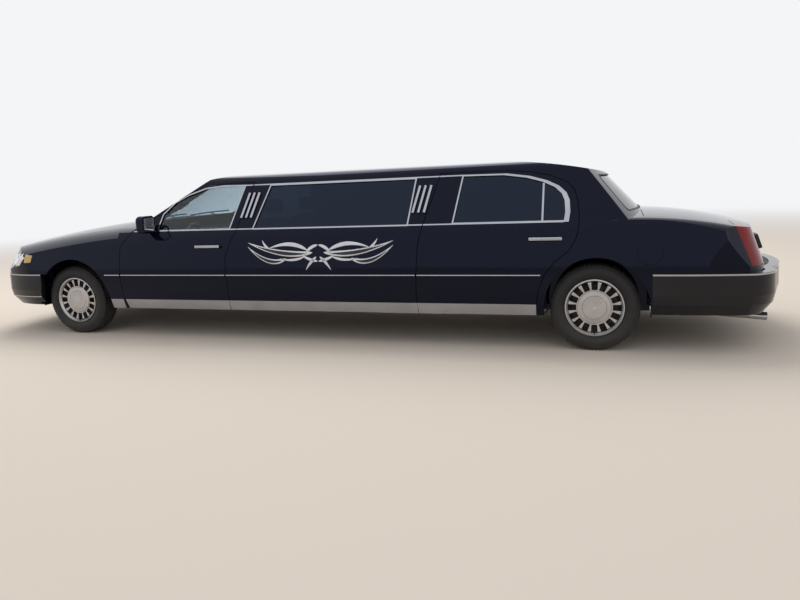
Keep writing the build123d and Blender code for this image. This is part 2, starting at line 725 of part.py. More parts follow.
def side_sheet(outline, near, thick):
    # A leaning sheet parallel to the cabin's side, cut to an outline; near is its depth below the skin.
    lean = math.hypot(1, glass_lean)
    low_z, top_z = belt_z - 85, rail_z + 19
    with BuildPart() as sheet:
        with BuildSketch(Plane.YZ.offset(fx(500))):
            Polygon(*[(-(skin_lean(z) - depth * lean), z) for z, depth in (
                (low_z, near), (top_z, near), (top_z, near + thick), (low_z, near + thick))], align=None)
        extrude(amount=wheelbase - 195)
        add(side_prism(outline, bevel_near - 60, outside_y), mode=Mode.INTERSECT)
    return sheet.part


def frame_ring(outline, crescent):
    # A bright frame round a window, standing proud of the skin and wider towards the rear by the crescent.
    with BuildPart() as ring:
        rim = outset(outline, trim_width)
        add(side_sheet(rim, -trim_depth, trim_depth))
        if crescent:
            add(side_sheet([(x + crescent, z) for x, z in rim], -trim_depth, trim_depth))
        add(side_prism(outline, bevel_near - 60, outside_y), mode=Mode.SUBTRACT)
    return ring.part


def strip_outline(start, end, low, top):
    return [(start, low), (end, low), (end, top), (start, top)]


belt_strip = (belt_z + 2, belt_z + 12)
rail_strip = (rail_z - 16, rail_z - 6)
plate_proud = 2.5


def sill_plate(start, end):
    rocker_y = half_width - rocker_inset
    foot_y = half_width - sill_inset
    with BuildPart() as plate:
        with BuildSketch(Plane.YZ.offset(start)):
            Polygon((-foot_y, sill_z), (-rocker_y, rocker_top_z), (-rocker_y - plate_proud, rocker_top_z),
                    (-foot_y - plate_proud, sill_z), align=None)
        extrude(amount=end - start)
    return plate.part


# Outside mirror: a rounded shell on a short foot at the front window's lower corner
mirror_x = fx(970)
mirror_z = 1058
mirror_out = 1085
mirror_size = (92, 168, 156)
mirror_foot = (70, 60, 44)
with BuildPart() as mirror_housing:
    with Locations((mirror_x, -mirror_out + mirror_size[1] / 2, mirror_z)):
        Box(*mirror_size)
    fillet(mirror_housing.edges().filter_by(Axis.X), 46)
    fillet(mirror_housing.faces().sort_by(Axis.X)[0].edges(), 32)
foot_z = mirror_z - mirror_size[2] / 2 + 30
mirror_foot_arm = box_between(
    (mirror_x - mirror_foot[0] / 2, -mirror_out + mirror_size[1] / 2, foot_z - mirror_foot[2] / 2),
    (mirror_x + mirror_foot[0] / 2, -skin_lean(foot_z) + upper_wall / 2, foot_z + mirror_foot[2] / 2))

handle_bar = (250, 14, 24)
handle_out = 34
handle_post = (26, 18)


def door_handle(x, z):
    # A rounded pull bar on two posts
    face_y = -(skin_y(z) + handle_out)
    with BuildPart() as handle:
        with Locations((x, face_y + handle_bar[1] / 2, z)):
            Box(*handle_bar)
        fillet(handle.edges(), 6)
        for end in (-1, 1):
            post_x = x + end * (handle_bar[0] / 2 - handle_post[0])
            add(box_between((post_x - handle_post[0] / 2, face_y + 6, z - handle_post[1] / 2),
                            (post_x + handle_post[0] / 2, face_y + handle_out + 10, z + handle_post[1] / 2)))
    return handle.part


doors = (
    {"name": "front_door", "outline": front_door_outline, "window": front_window, "crescent": 0,
     "handle": (fx(1590), 848), "plate": (fx(560), fx(1820)), "divider": 0, "moulding": (fx(626), fx(1746)),
     "belt": (fx(765), fx(1960)), "rail": (fx(1850), fx(1960))},
    {"name": "rear_door", "outline": rear_door_outline, "window": rear_window, "crescent": 25,
     "handle": (rx(-360), 868), "plate": (rx(-1445), rx(-295)), "divider": rx(-388),
     "moulding": (rx(-1379), rx(-395)), "belt": (rx(-1400), rx(-226)), "rail": (rx(-1400), rx(-1020))},
)
for d in doors:
    leaf = door_block(d["outline"], 0)
    handle = door_handle(*d["handle"])
    with BuildPart() as panel:
        add(shell_solid.part)
        add(leaf, mode=Mode.INTERSECT)
        add(side_prism(d["window"], bevel_near - 60, outside_y), mode=Mode.SUBTRACT)
        add(box_between((d["moulding"][0], -half_width - moulding_depth, moulding_low_z),
                        (d["moulding"][1], -half_width + moulding_root, moulding_top_z)))
        if d["name"] == "rear_door":
            add(wheel_houses.part, mode=Mode.SUBTRACT)
        else:
            add(mirror_housing.part)
            add(mirror_foot_arm)
    with BuildPart() as pane:
        add(side_sheet(d["window"], glass_near, glass_thick))
    with BuildPart() as bright:
        add(frame_ring(d["window"], d["crescent"]))
        add(side_sheet(strip_outline(*d["belt"], *belt_strip), -trim_depth, trim_depth))
        add(side_sheet(strip_outline(*d["rail"], *rail_strip), -trim_depth, trim_depth))
        add(side_prism(d["window"], bevel_near - 60, outside_y), mode=Mode.SUBTRACT)
        if d["divider"]:
            add(side_sheet(strip_outline(d["divider"] - 7, d["divider"] + 7, 1002, 1285), -trim_depth,
                           trim_depth + glass_near))
        add(sill_plate(*d["plate"]))
        add(leaf, mode=Mode.INTERSECT)
        add(handle)
        add(panel.part, mode=Mode.SUBTRACT)
    for hand, flip in (("left", False), ("right", True)):
        for kind, shape in (("", panel.part), ("_glass", pane.part), ("_brightwork", bright.part)):
            piece = shape.mirror(Plane.XZ) if flip else shape
            piece.label = d["name"] + kind + "_" + hand
            export_step(piece, "parts/" + d["name"] + kind + "_" + hand + ".step")

# Fixed glass: windscreen, rear window and the stretch section's side panes
with BuildPart() as windscreen:
    with BuildSketch(Plane.YZ.offset(fx(500))):
        Polygon(*screen_opening, align=None)
    extrude(amount=1400)
    add(raked_block(screen, glass_near), mode=Mode.INTERSECT)
    add(raked_block(screen, glass_near + glass_thick), mode=Mode.SUBTRACT)
with BuildPart() as rear_pane:
    with BuildSketch(Plane.YZ.offset(rx(-245))):
        Polygon(*rear_opening, align=None)
    extrude(amount=700)
    add(raked_block(backlight, glass_near), mode=Mode.INTERSECT)
    add(raked_block(backlight, glass_near + glass_thick), mode=Mode.SUBTRACT)
with BuildPart() as fixed_glass:
    add(windscreen.part)
    add(rear_pane.part)
    add(both_sides(side_sheet(middle_window, glass_near, glass_thick)))
fixed_glass.part.label = "fixed_glass"
export_step(fixed_glass.part, "parts/fixed_glass.step")

# Bright trim of the fixed body: window frames, belt and roof strips, sill plates, bumper strips
with BuildPart() as body_brightwork:
    add(frame_ring(middle_window, 0))
    add(side_sheet(strip_outline(fx(1856), rx(-1340), *belt_strip), -trim_depth, trim_depth))
    add(side_sheet(strip_outline(fx(1958), rx(-1224), *rail_strip), -trim_depth, trim_depth))
    add(side_prism(middle_window, bevel_near - 60, outside_y), mode=Mode.SUBTRACT)
    add(front_doors_cut, mode=Mode.SUBTRACT)
    add(rear_doors_cut, mode=Mode.SUBTRACT)
    add(sill_plate(fx(1756), rx(-1389)))
    add(sill_plate(fx(470), fx(612)))
    add(wheel_houses.part, mode=Mode.SUBTRACT)
    mirror(about=Plane.XZ)
    add(bumper_strip(front_bumper_plan.sketch, front_bumper_region, bumper_top_z - 14, bumper_top_z - 2, 6))
    add(bumper_strip(front_bumper_plan.sketch, front_bumper_region, bumper_line_z, bumper_line_z + 8, 12))
    add(bumper_strip(rear_bumper_plan.sketch, rear_bumper_region, bumper_top_z - 14, bumper_top_z - 2, 6))
body_brightwork.part.label = "body_brightwork"
export_step(body_brightwork.part, "parts/body_brightwork.step")

# Slanting tubular lamp bars: three in a group, one group ahead of each end of the middle window
bar_radius = 12
bar_pitch = 47.5
bar_low_z = 1086
bar_high_z = 1299
bar_groups = ({"foot": fx(1888), "top": fx(1935)}, {"foot": rx(-1427), "top": rx(-1384)})
with BuildPart() as light_bars:
    for group in bar_groups:
        for index in range(3):
            low = Vector(group["foot"] + index * bar_pitch, -skin_lean(bar_low_z) - bar_radius, bar_low_z)
            high = Vector(group["top"] + index * bar_pitch, -skin_lean(bar_high_z) - bar_radius, bar_high_z)
            with BuildSketch(Plane(origin=low, z_dir=high - low)):
                Circle(bar_radius)
            extrude(amount=(high - low).length)
    whole_side = strip_outline(fx(1700), rx(-1095), belt_z + 15, rail_z + 9)
    add(side_sheet(whole_side, 0, 30), mode=Mode.SUBTRACT)
    mirror(about=Plane.XZ)
light_bars.part.label = "light_bars"
export_step(light_bars.part, "parts/light_bars.step")

# Floor pan with inner sills, firewall foot and tunnel
floor_half = cabin_half - 5
floor_front_x = fx(600)
floor_rear_x = rx(-455)
boot_floor_half = 595
with BuildPart() as floor_pan:
    add(box_between((floor_front_x, -floor_half, floor_z), (floor_rear_x, floor_half, floor_z + floor_thick)))
    for side in (-1, 1):
        near, far = sorted((side * (floor_half - 90), side * floor_half))
        add(box_between((floor_front_x, near, floor_z), (floor_rear_x, far, floor_z + 100)))
    # Kicked-up floor over the rear axle, and the boot floor
    with BuildSketch(Plane.XZ.offset(-tub_y + 15)):
        Polygon(*[(rx(x), z) for x, z in (
            (-595, floor_z), (-385, floor_z), (-255, 560), (295, 560), (395, 440), (480, 440),
            (480, boot_floor_z), (405, boot_floor_z), (305, 582), (-270, 582), (-395, floor_top),
            (-595, floor_top))], align=None)
    extrude(amount=2 * (tub_y - 15))
    add(box_between((rx(405), -boot_floor_half, 440), (boot_wall_x, boot_floor_half, boot_floor_z)))
    # Tunnel over the gearbox and the propeller shaft
    add(box_between((floor_front_x, -tunnel_front_half, floor_z),
                    (fx(1100), tunnel_front_half, tunnel_front_z)))
    add(box_between((floor_front_x, -tunnel_half, floor_z), (rx(-255), tunnel_half, tunnel_z)))
    inner_half = tunnel_front_half - tunnel_wall
    add(box_between((floor_front_x, -inner_half, floor_z - 80),
                    (fx(1100) - tunnel_wall, inner_half, tunnel_front_z - tunnel_wall)), mode=Mode.SUBTRACT)
    inner_half = tunnel_half - tunnel_wall
    add(box_between((floor_front_x, -inner_half, floor_z - 80),
                    (rx(-255), inner_half, tunnel_z - tunnel_wall)), mode=Mode.SUBTRACT)
floor_pan.part.label = "floor_pan"
export_step(floor_pan.part, "parts/floor_pan.step")

# Ladder frame: two stepped rails, and cross members between them
rail_in_y = 430
rail_wide = 70
rail_deep = 90
rail_front_x = panel_x + panel_thick
cross_low_z = 218
cross_members = (
    {"x": fx(-780), "low": 335, "tall": 90}, {"x": fx(1200), "low": cross_low_z, "tall": 64},
    {"x": fx(1950), "low": cross_low_z, "tall": 64}, {"x": rx(-2095), "low": cross_low_z, "tall": 64},
    {"x": rx(-795), "low": cross_low_z, "tall": 64}, {"x": rx(435), "low": 355, "tall": 80},
    {"x": rx(1060), "low": 355, "tall": 80},
)
with BuildPart() as chassis_frame:
    with BuildSketch(Plane.XZ.offset(rail_in_y)):
        Polygon((fx(450), floor_z - rail_deep), (fx(230), 330), (rail_front_x, 330), (rail_front_x, 430),
                (fx(300), 430), (fx(520), floor_z),
                *[(rx(x), z) for x, z in (
                    (-385, floor_z), (-301, 470), (370, 470), (395, 440), (1240, 440), (1240, 350),
                    (355, 350), (275, 390), (-255, 390), (-425, floor_z - rail_deep))], align=None)
    extrude(amount=rail_wide)
    for c in cross_members:
        with Locations((c["x"], 0, c["low"] + c["tall"] / 2)):
            Box(80, 2 * (rail_in_y - stop_gap), c["tall"])
    mirror(about=Plane.XZ)
    add(rear_bumper.part, mode=Mode.SUBTRACT)
chassis_frame.part.label = "chassis_frame"
export_step(chassis_frame.part, "parts/chassis_frame.step")

# Engine and gearbox as one plain block
with BuildPart() as engine_block:
    add(box_between((fx(-300), -280, 300.3), (fx(420), 280, 820)))
    add(box_between((fx(370), -130, 250), (fx(1070), 130, 470)))
engine_block.part.label = "engine_block"
export_step(engine_block.part, "parts/engine_block.step")

# Front suspension: cross member, lower and upper arms with kingpin stubs
arm_thick = 20
arms = ({"z": 196, "root_y": 330, "root": 150, "tip": 38}, {"z": 452, "root_y": 440, "root": 110, "tip": 26})
with BuildPart() as front_suspension:
    add(box_between((fx(-120), -rail_in_y, 210), (fx(120), 0, 300)))
    for a in arms:
        with BuildSketch(Plane.XY.offset(a["z"])):
            tip_y = -kingpin_y - 24
            Polygon((fx(-a["root"]), -a["root_y"]), (fx(a["root"]), -a["root_y"]), (fx(a["tip"]), tip_y),
                    (fx(-a["tip"]), tip_y), align=None)
        extrude(amount=arm_thick)
    add(box_between((fx(-120), -495, 430), (fx(120), -435, 460)))
    with Locations((front_axle_x, -kingpin_y, arms[0]["z"])):
        Cylinder(kingpin_radius, 60, align=(Align.CENTER, Align.CENTER, Align.MIN))
    with Locations((front_axle_x, -kingpin_y, arms[1]["z"] + arm_thick)):
        Cylinder(kingpin_radius, 60, align=(Align.CENTER, Align.CENTER, Align.MAX))
    mirror(about=Plane.XZ)
front_suspension.part.label = "front_suspension"
export_step(front_suspension.part, "parts/front_suspension.step")

# Wheels: rim with short flared spokes round a flat cap, and rubber tyre, built looking along the axle
cap_radius = 127
cap_groove_radius = 90
window_count = 16
window_in = {"radius": 134, "half": 22}
window_out = {"radius": 198, "half": 25}
hub_bore = spindle_radius + running_gap
hub_radius = 62
hub_in = 80
face_z = 70
spindle_past = 12


def wheel_at(x, track, name, hand):
    side = -1 if hand == "left" else 1
    place = Plane(origin=(x, side * track / 2, axle_z), x_dir=(1, 0, 0), z_dir=(0, side, 0))
    with BuildPart() as wheel:
        # Rim barrel with its two lips
        with BuildSketch(Plane.XZ):
            Polygon((rim_seat - 12, -rim_half - 6), (rim_radius - 4, -rim_half - 7),
                    (rim_radius, -rim_half), (rim_seat, -rim_half + 6), (rim_seat, -34),
                    (rim_seat - 20, -12), (rim_seat - 20, 24), (rim_seat, 46), (rim_seat, rim_half - 6),
                    (rim_radius, rim_half), (rim_radius - 3, rim_half + 8),
                    (rim_radius - 12, rim_half + 9), (rim_radius - 24, rim_half - 6),
                    (rim_seat - 12, 50), (rim_seat - 32, 28), (rim_seat - 32, -16), (rim_seat - 12, -38),
                    align=None)
        revolve(axis=Axis.Z)
        # Hub and dished back plate
        with BuildSketch(Plane.XZ):
            Polygon((hub_bore, -hub_in), (hub_radius, -hub_in), (hub_radius, 8), (rim_seat - 30, 20),
                    (rim_seat - 30, 28), (cap_radius, 30), (cap_radius, face_z - 4), (0, face_z - 4),
                    (0, spindle_past + 4), (hub_bore, spindle_past + 4), align=None)
        revolve(axis=Axis.Z)
    with BuildPart() as face:
        # Spoked ring, with the windows cut between the spokes
        with BuildSketch(Plane.XZ):
            Polygon((cap_radius - 10, face_z - 14), (rim_seat - 8, face_z - 8), (rim_seat - 8, face_z + 10),
                    (rim_seat - 14, face_z + 12), (cap_radius - 10, face_z + 6), align=None)
        revolve(axis=Axis.Z)
        with BuildSketch(Plane.XY.offset(face_z - 20)):
            with PolarLocations(0, window_count):
                Polygon((window_in["radius"], -window_in["half"]),
                        (window_out["radius"], -window_out["half"]),
                        (window_out["radius"], window_out["half"]),
                        (window_in["radius"], window_in["half"]), align=None)
        extrude(amount=40, mode=Mode.SUBTRACT)
        # Flat cap with a fine ring groove
        with BuildSketch(Plane.XZ):
            Polygon((0, face_z - 6), (cap_radius, face_z - 6), (cap_radius, face_z + 8),
                    (cap_radius - 4, face_z + 12), (cap_groove_radius + 2, face_z + 14),
                    (cap_groove_radius, face_z + 11.5),
                    (cap_groove_radius - 2, face_z + 14), (0, face_z + 15), align=None)
        revolve(axis=Axis.Z)
        add(wheel.part)
    with BuildPart() as tyre:
        bulge_radius = (rim_radius + tyre_radius) / 2 + 6
        half = tyre_width / 2
        with BuildSketch(Plane.XZ):
            with BuildLine():
                Line((rim_seat, 0), (rim_seat, rim_half - 6))
                Polyline((rim_seat, rim_half - 6), (rim_radius, rim_half), (rim_radius + 5, rim_half + 3))
                ThreePointArc((rim_radius + 5, rim_half + 3), (bulge_radius, half),
                              (tyre_radius - 16, half - 19))
                ThreePointArc((tyre_radius - 16, half - 19), (tyre_radius - 5, half - 26),
                              (tyre_radius, half - 38))
                Polyline((tyre_radius, half - 38), (tyre_radius, 0), (rim_seat, 0))
            make_face()
            mirror(about=Plane.XZ)
        revolve(axis=Axis.Z)
        with BuildSketch(Plane.XZ):
            Polygon((rim_seat - 30, 0), (tyre_radius - 22, 0), (tyre_radius - 22, half - 35),
                    (tyre_radius - 40, half - 19), (rim_seat + 6, 60), (rim_seat - 30, 60), align=None)
            mirror(about=Plane.XZ)
        revolve(axis=Axis.Z, mode=Mode.SUBTRACT)
    for kind, shape in (("wheel", face.part), ("tyre", tyre.part)):
        piece = place.location * shape
        piece.label = name + "_" + kind + "_" + hand
        export_step(piece, "parts/" + piece.label + ".step")


for hand in ("left", "right"):
    wheel_at(front_axle_x, front_track, "front", hand)
    wheel_at(rear_axle_x, rear_track, "rear", hand)

# Front knuckles: upright with kingpin bores, a spindle for the hub and a steering arm
knuckle_low = 222
knuckle_high = 446
for hand, side in (("left", -1), ("right", 1)):
    with BuildPart() as knuckle:
        with Locations((front_axle_x, side * kingpin_y, (knuckle_low + knuckle_high) / 2)):
            Box(64, 34, knuckle_high - knuckle_low)
        spindle_foot = (front_axle_x, side * kingpin_y, axle_z)
        with BuildSketch(Plane(origin=spindle_foot, x_dir=(1, 0, 0), z_dir=(0, side, 0))):
            Circle(spindle_radius)
        extrude(amount=front_track / 2 - kingpin_y + spindle_past)
        with Locations((front_axle_x - 90, side * (kingpin_y - 12), 262)):
            Box(160, 26, 24)
        for z in (knuckle_low, knuckle_high):
            with Locations((front_axle_x, side * kingpin_y, z)):
                Cylinder(kingpin_radius + running_gap, 76, mode=Mode.SUBTRACT)
    knuckle.part.label = "front_knuckle_" + hand
    export_step(knuckle.part, "parts/front_knuckle_" + hand + ".step")

# Rear axle with propeller shaft, coil seats and spindles
axle_tube = 42
with BuildPart() as rear_axle:
    for radius, reach in ((axle_tube, rear_track / 2 - 113), (spindle_radius, rear_track / 2 + spindle_past)):
        with BuildSketch(Plane(origin=(rear_axle_x, reach, axle_z), x_dir=(1, 0, 0), z_dir=(0, -1, 0))):
            Circle(radius)
        extrude(amount=2 * reach)
    with Locations((rear_axle_x, 0, axle_z)):
        Sphere(128)
    with BuildSketch(Plane.YZ.offset(fx(1070))):
        with Locations((0, axle_z)):
            Circle(38)
    extrude(amount=wheelbase - 1095)
    for side in (-1, 1):
        with Locations((rear_axle_x, side * (rail_in_y + rail_wide / 2), axle_z)):
            Cylinder(52, 390 - axle_z, align=(Align.CENTER, Align.CENTER, Align.MIN))
rear_axle.part.label = "rear_axle"
export_step(rear_axle.part, "parts/rear_axle.step")

# Exhaust: two pipes with silencers, led over the axle, with tips under the rear bumper
pipe_radius = 28
pipe_y = 330
pipe_z = cross_low_z - pipe_radius - stop_gap
tip_y = 600
tip_z = 228
exhaust_route = [(rx(x), -y, z) for x, y, z in (
    (-995, pipe_y, pipe_z), (-425, pipe_y, pipe_z), (-215, pipe_y, 490), (235, pipe_y, 490),
    (355, pipe_y, 290), (560, tip_y, 280), (1000, tip_y, 245), (1226, tip_y, tip_z),
)]
with BuildPart() as exhaust:
    with BuildSketch(Plane.YZ.offset(fx(900))):
        with Locations((-pipe_y, pipe_z)):
            Circle(pipe_radius)
    extrude(amount=exhaust_route[0][0] - fx(900))
    add(box_between((rx(-1895), -pipe_y - 90, pipe_z - pipe_radius), (rx(-1195), -pipe_y + 90, pipe_z + 58)))
    with BuildLine() as run:
        Polyline(*exhaust_route)
    with BuildSketch(Plane.YZ.offset(exhaust_route[0][0])):
        with Locations((-pipe_y, pipe_z)):
            Circle(pipe_radius)
    sweep(path=run.line, transition=Transition.RIGHT)
    mirror(about=Plane.XZ)
exhaust.part.label = "exhaust"
export_step(exhaust.part, "parts/exhaust.step")

# Fuel tank behind the rear axle, hung under the boot floor
with BuildPart() as fuel_tank:
    with Locations((rx(665), 0, 340)):
        Box(320, 440, 200)
    fillet(fuel_tank.edges(), 30)
fuel_tank.part.label = "fuel_tank"
export_step(fuel_tank.part, "parts/fuel_tank.step")

# Seats: two in front, a bench at the rear and a long bench down the right side
seat_floor = floor_top
front_seat = {"x": fx(1250), "y": 360, "half": 245, "depth": 480, "back": 170, "cushion": 600, "top": 1060}
with BuildPart() as driver_seat:
    s = front_seat
    back_x = s["x"] + s["depth"]
    with BuildSketch(Plane.XZ.offset(s["y"] - s["half"])):
        Polygon((s["x"], seat_floor), (s["x"], s["cushion"]), (back_x, s["cushion"] - 40),
                (back_x + s["back"], s["top"]), (back_x + s["back"] + 110, s["top"]),
                (back_x + 130, s["cushion"] - 80), (back_x + 60, seat_floor), align=None)
    extrude(amount=2 * s["half"])
    fillet(driver_seat.edges().filter_by(Axis.Y).group_by(Axis.Z)[-1], 40)
    head_x = back_x + s["back"] + 50
    add(box_between((head_x - 8, -s["y"] - 60, s["top"] - 20), (head_x + 8, -s["y"] + 60, s["top"] + 60)))
    with BuildSketch(Plane.YZ.offset(head_x - 45)):
        with Locations((-s["y"], s["top"] + 110)):
            RectangleRounded(270, 130, 45)
    extrude(amount=90)
with BuildPart() as seats:
    add(both_sides(driver_seat.part))
    add(box_between((fx(950), -tunnel_half, 300), (fx(1850), tunnel_half, 500)), mode=Mode.SUBTRACT)
    with BuildSketch(Plane.XZ.offset(-tub_y + 15)):
        Polygon(*[(rx(x), z) for x, z in (
            (-875, seat_floor), (-875, 600), (-395, 585), (-165, 1090), (-35, 1090), (-275, 590),
            (-415, seat_floor + 20), (-595, seat_floor))], align=None)
    extrude(amount=2 * (tub_y - 15))
    with BuildSketch(Plane.YZ.offset(fx(2300))):
        Polygon(*[(cabin_half - y, z) for y, z in (
            (575, seat_floor), (575, 600), (235, 585), (165, 960), (65, 960), (103, 560),
            (110, seat_floor))], align=None)
    extrude(amount=wheelbase - 3395)
    add(box_between((rx(-1095), -tunnel_half, seat_floor - 50), (rx(-95), tunnel_half, tunnel_z)),
        mode=Mode.SUBTRACT)
seats.part.label = "seats"
export_step(seats.part, "parts/seats.step")

# Dashboard across the cabin, seated on the firewall
with BuildPart() as dashboard:
    with BuildSketch(Plane.XZ.offset(-cabin_half + 55)):
        Polygon(*[(fx(x), z) for x, z in (
            (600, 640), (600, 940), (760, 968), (940, 930), (960, 820), (900, 700), (780, 640))], align=None)
    extrude(amount=2 * (cabin_half - 55))
dashboard.part.label = "dashboard"
export_step(dashboard.part, "parts/dashboard.step")

# Steering wheel square to its raked column, which ends in the dashboard
wheel_centre = (fx(1130), -front_seat["y"], 850)
column_dir = (0.9, 0, 0.42)
rim_reach = 188
with BuildPart() as steering_wheel:
    with BuildSketch(Plane(origin=wheel_centre, x_dir=(0, 1, 0), z_dir=column_dir)):
        Circle(60)
        Rectangle(2 * rim_reach - 16, 34)
    extrude(amount=12, both=True)
    with BuildSketch(Plane(origin=wheel_centre, x_dir=column_dir, z_dir=(0, 1, 0))):
        with Locations((0, rim_reach)):
            Circle(13)
    revolve(axis=Axis(wheel_centre, column_dir))
    with BuildSketch(Plane(origin=wheel_centre, z_dir=[-v for v in column_dir])):
        Circle(28)
    extrude(amount=215)
    add(dashboard.part, mode=Mode.SUBTRACT)
steering_wheel.part.label = "steering_wheel"
export_step(steering_wheel.part, "parts/steering_wheel.step")
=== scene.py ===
import bpy
import bmesh
import json
import math
import numpy as np
from mathutils import Matrix, Vector


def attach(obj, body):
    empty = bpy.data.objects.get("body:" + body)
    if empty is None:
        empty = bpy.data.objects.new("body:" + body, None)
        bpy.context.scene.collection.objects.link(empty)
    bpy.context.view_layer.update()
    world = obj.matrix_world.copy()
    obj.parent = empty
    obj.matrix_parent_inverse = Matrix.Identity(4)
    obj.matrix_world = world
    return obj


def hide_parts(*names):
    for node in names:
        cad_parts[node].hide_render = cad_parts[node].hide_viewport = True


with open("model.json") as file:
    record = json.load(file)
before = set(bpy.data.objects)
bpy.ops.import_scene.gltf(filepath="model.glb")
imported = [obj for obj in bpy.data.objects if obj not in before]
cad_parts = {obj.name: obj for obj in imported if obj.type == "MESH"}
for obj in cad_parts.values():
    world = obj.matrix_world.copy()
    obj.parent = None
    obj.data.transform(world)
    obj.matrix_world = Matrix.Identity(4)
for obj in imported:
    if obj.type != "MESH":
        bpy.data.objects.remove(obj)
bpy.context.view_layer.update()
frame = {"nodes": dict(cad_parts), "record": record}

print("frame loaded")

# Places in metres: X runs rearwards, Y to the car's right, Z up from the ground.
frontAxle = -2.6205
rearAxle = 2.2745
sides = (("left", -1.0), ("right", 1.0))


def fromFront(x):
    # Place along X of a distance in millimetres behind the front axle.
    return frontAxle + x / 1000.0


def fromRear(x):
    # Place along X of a distance in millimetres behind the rear axle.
    return rearAxle + x / 1000.0


# The camera stands beside the rear wheel and looks a little forwards and down.
camera = {
    "place": (2.3668, -6.0522, 1.3298),
    "yaw": -0.30947, "pitch": 0.17522, "roll": -0.04358,
    "lens": 29.664, "sensor": 36.0,
}


def placeCamera(spec):
    # Yaw turns it from +Y towards +X, pitch tips it down and roll turns it about its own line of sight.
    cy, sy = math.cos(spec["yaw"]), math.sin(spec["yaw"])
    cp, sp = math.cos(spec["pitch"]), math.sin(spec["pitch"])
    cr, sr = math.cos(spec["roll"]), math.sin(spec["roll"])
    ahead = Vector((sy * cp, cy * cp, -sp))
    right = Vector((cy, -sy, 0.0))
    up = Vector((sy * sp, cy * sp, cp))
    data = bpy.data.cameras.new("camera")
    data.lens = spec["lens"]
    data.sensor_width = spec["sensor"]
    data.clip_end = 200.0
    eye = bpy.data.objects.new("camera", data)
    turn = Matrix((right * cr + up * sr, up * cr - right * sr, -ahead)).transposed()
    eye.matrix_world = Matrix.Translation(spec["place"]) @ turn.to_4x4()
    bpy.context.scene.collection.objects.link(eye)
    bpy.context.scene.camera = eye


placeCamera(camera)


# Shader groups: each names its inputs and outputs, and every finish below gives its own values.
def newGroup(name, inputs, outputs):
    # An empty group with named sockets, and its two end nodes.
    group = bpy.data.node_groups.new(name, "ShaderNodeTree")
    for label, kind in inputs:
        group.interface.new_socket(name=label, in_out="INPUT", socket_type=kind)
    for label, kind in outputs:
        group.interface.new_socket(name=label, in_out="OUTPUT", socket_type=kind)
    return group, group.nodes.new("NodeGroupInput"), group.nodes.new("NodeGroupOutput")


def mathNode(tree, operation, *values, clamp=False):
    # One sum on plain numbers and on other nodes' outputs.
    node = tree.nodes.new("ShaderNodeMath")
    node.operation = operation
    node.use_clamp = clamp
    for socket, value in zip(node.inputs, values):
        if isinstance(value, (int, float)):
            socket.default_value = value
        else:
            tree.links.new(value, socket)
    return node.outputs[0]


def mixColours(tree, factor, first, second):
    # first * (1 - factor) + second * factor, where each may be a plain colour.
    node = tree.nodes.new("ShaderNodeMix")
    node.data_type = "RGBA"
    tree.links.new(factor, node.inputs["Factor"])
    for socket, value in ((node.inputs[6], first), (node.inputs[7], second)):
        if isinstance(value, tuple):
            socket.default_value = value
        else:
            tree.links.new(value, socket)
    return node.outputs[2]


def objectPlace(tree):
    # X, Y and Z on the object, whose own axes are the frame's.
    split = tree.nodes.new("ShaderNodeSeparateXYZ")
    tree.links.new(tree.nodes.new("ShaderNodeTexCoord").outputs["Object"], split.inputs[0])
    return split.outputs


number, tone = "NodeSocketFloat", "NodeSocketColor"


def makeGrain():
    # Broad = 2.4 * noise - 0.7, held between 0 and 1. Colour = low tone mixed to high tone by
    # 0.6 * broad + 0.4 * fine noise, roughness = low + (high - low) * broad, and height = fine noise.
    group, given, result = newGroup("surfaceGrain", (
        ("Fine Scale", number), ("Broad Scale", number), ("Low Tone", tone), ("High Tone", tone),
        ("Low Roughness", number), ("High Roughness", number)), (
        ("Colour", tone), ("Roughness", number), ("Height", number)))
    place = group.nodes.new("ShaderNodeTexCoord").outputs["Object"]
    fine = group.nodes.new("ShaderNodeTexNoise")
    broad = group.nodes.new("ShaderNodeTexNoise")
    for node, scale, detail in ((fine, "Fine Scale", 5.0), (broad, "Broad Scale", 3.0)):
        node.inputs["Detail"].default_value = detail
        group.links.new(place, node.inputs["Vector"])
        group.links.new(given.outputs[scale], node.inputs["Scale"])
    wide = mathNode(group, "MULTIPLY_ADD", broad.outputs["Fac"], 2.4, -0.7, clamp=True)
    share = mathNode(group, "ADD", mathNode(group, "MULTIPLY", wide, 0.6),
                     mathNode(group, "MULTIPLY", fine.outputs["Fac"], 0.4), clamp=True)
    group.links.new(mixColours(group, share, given.outputs["Low Tone"], given.outputs["High Tone"]),
                    result.inputs["Colour"])
    span = mathNode(group, "SUBTRACT", given.outputs["High Roughness"], given.outputs["Low Roughness"])
    rough = mathNode(group, "ADD", mathNode(group, "MULTIPLY", span, wide), given.outputs["Low Roughness"])
    group.links.new(rough, result.inputs["Roughness"])
    group.links.new(fine.outputs["Fac"], result.inputs["Height"])
    return group


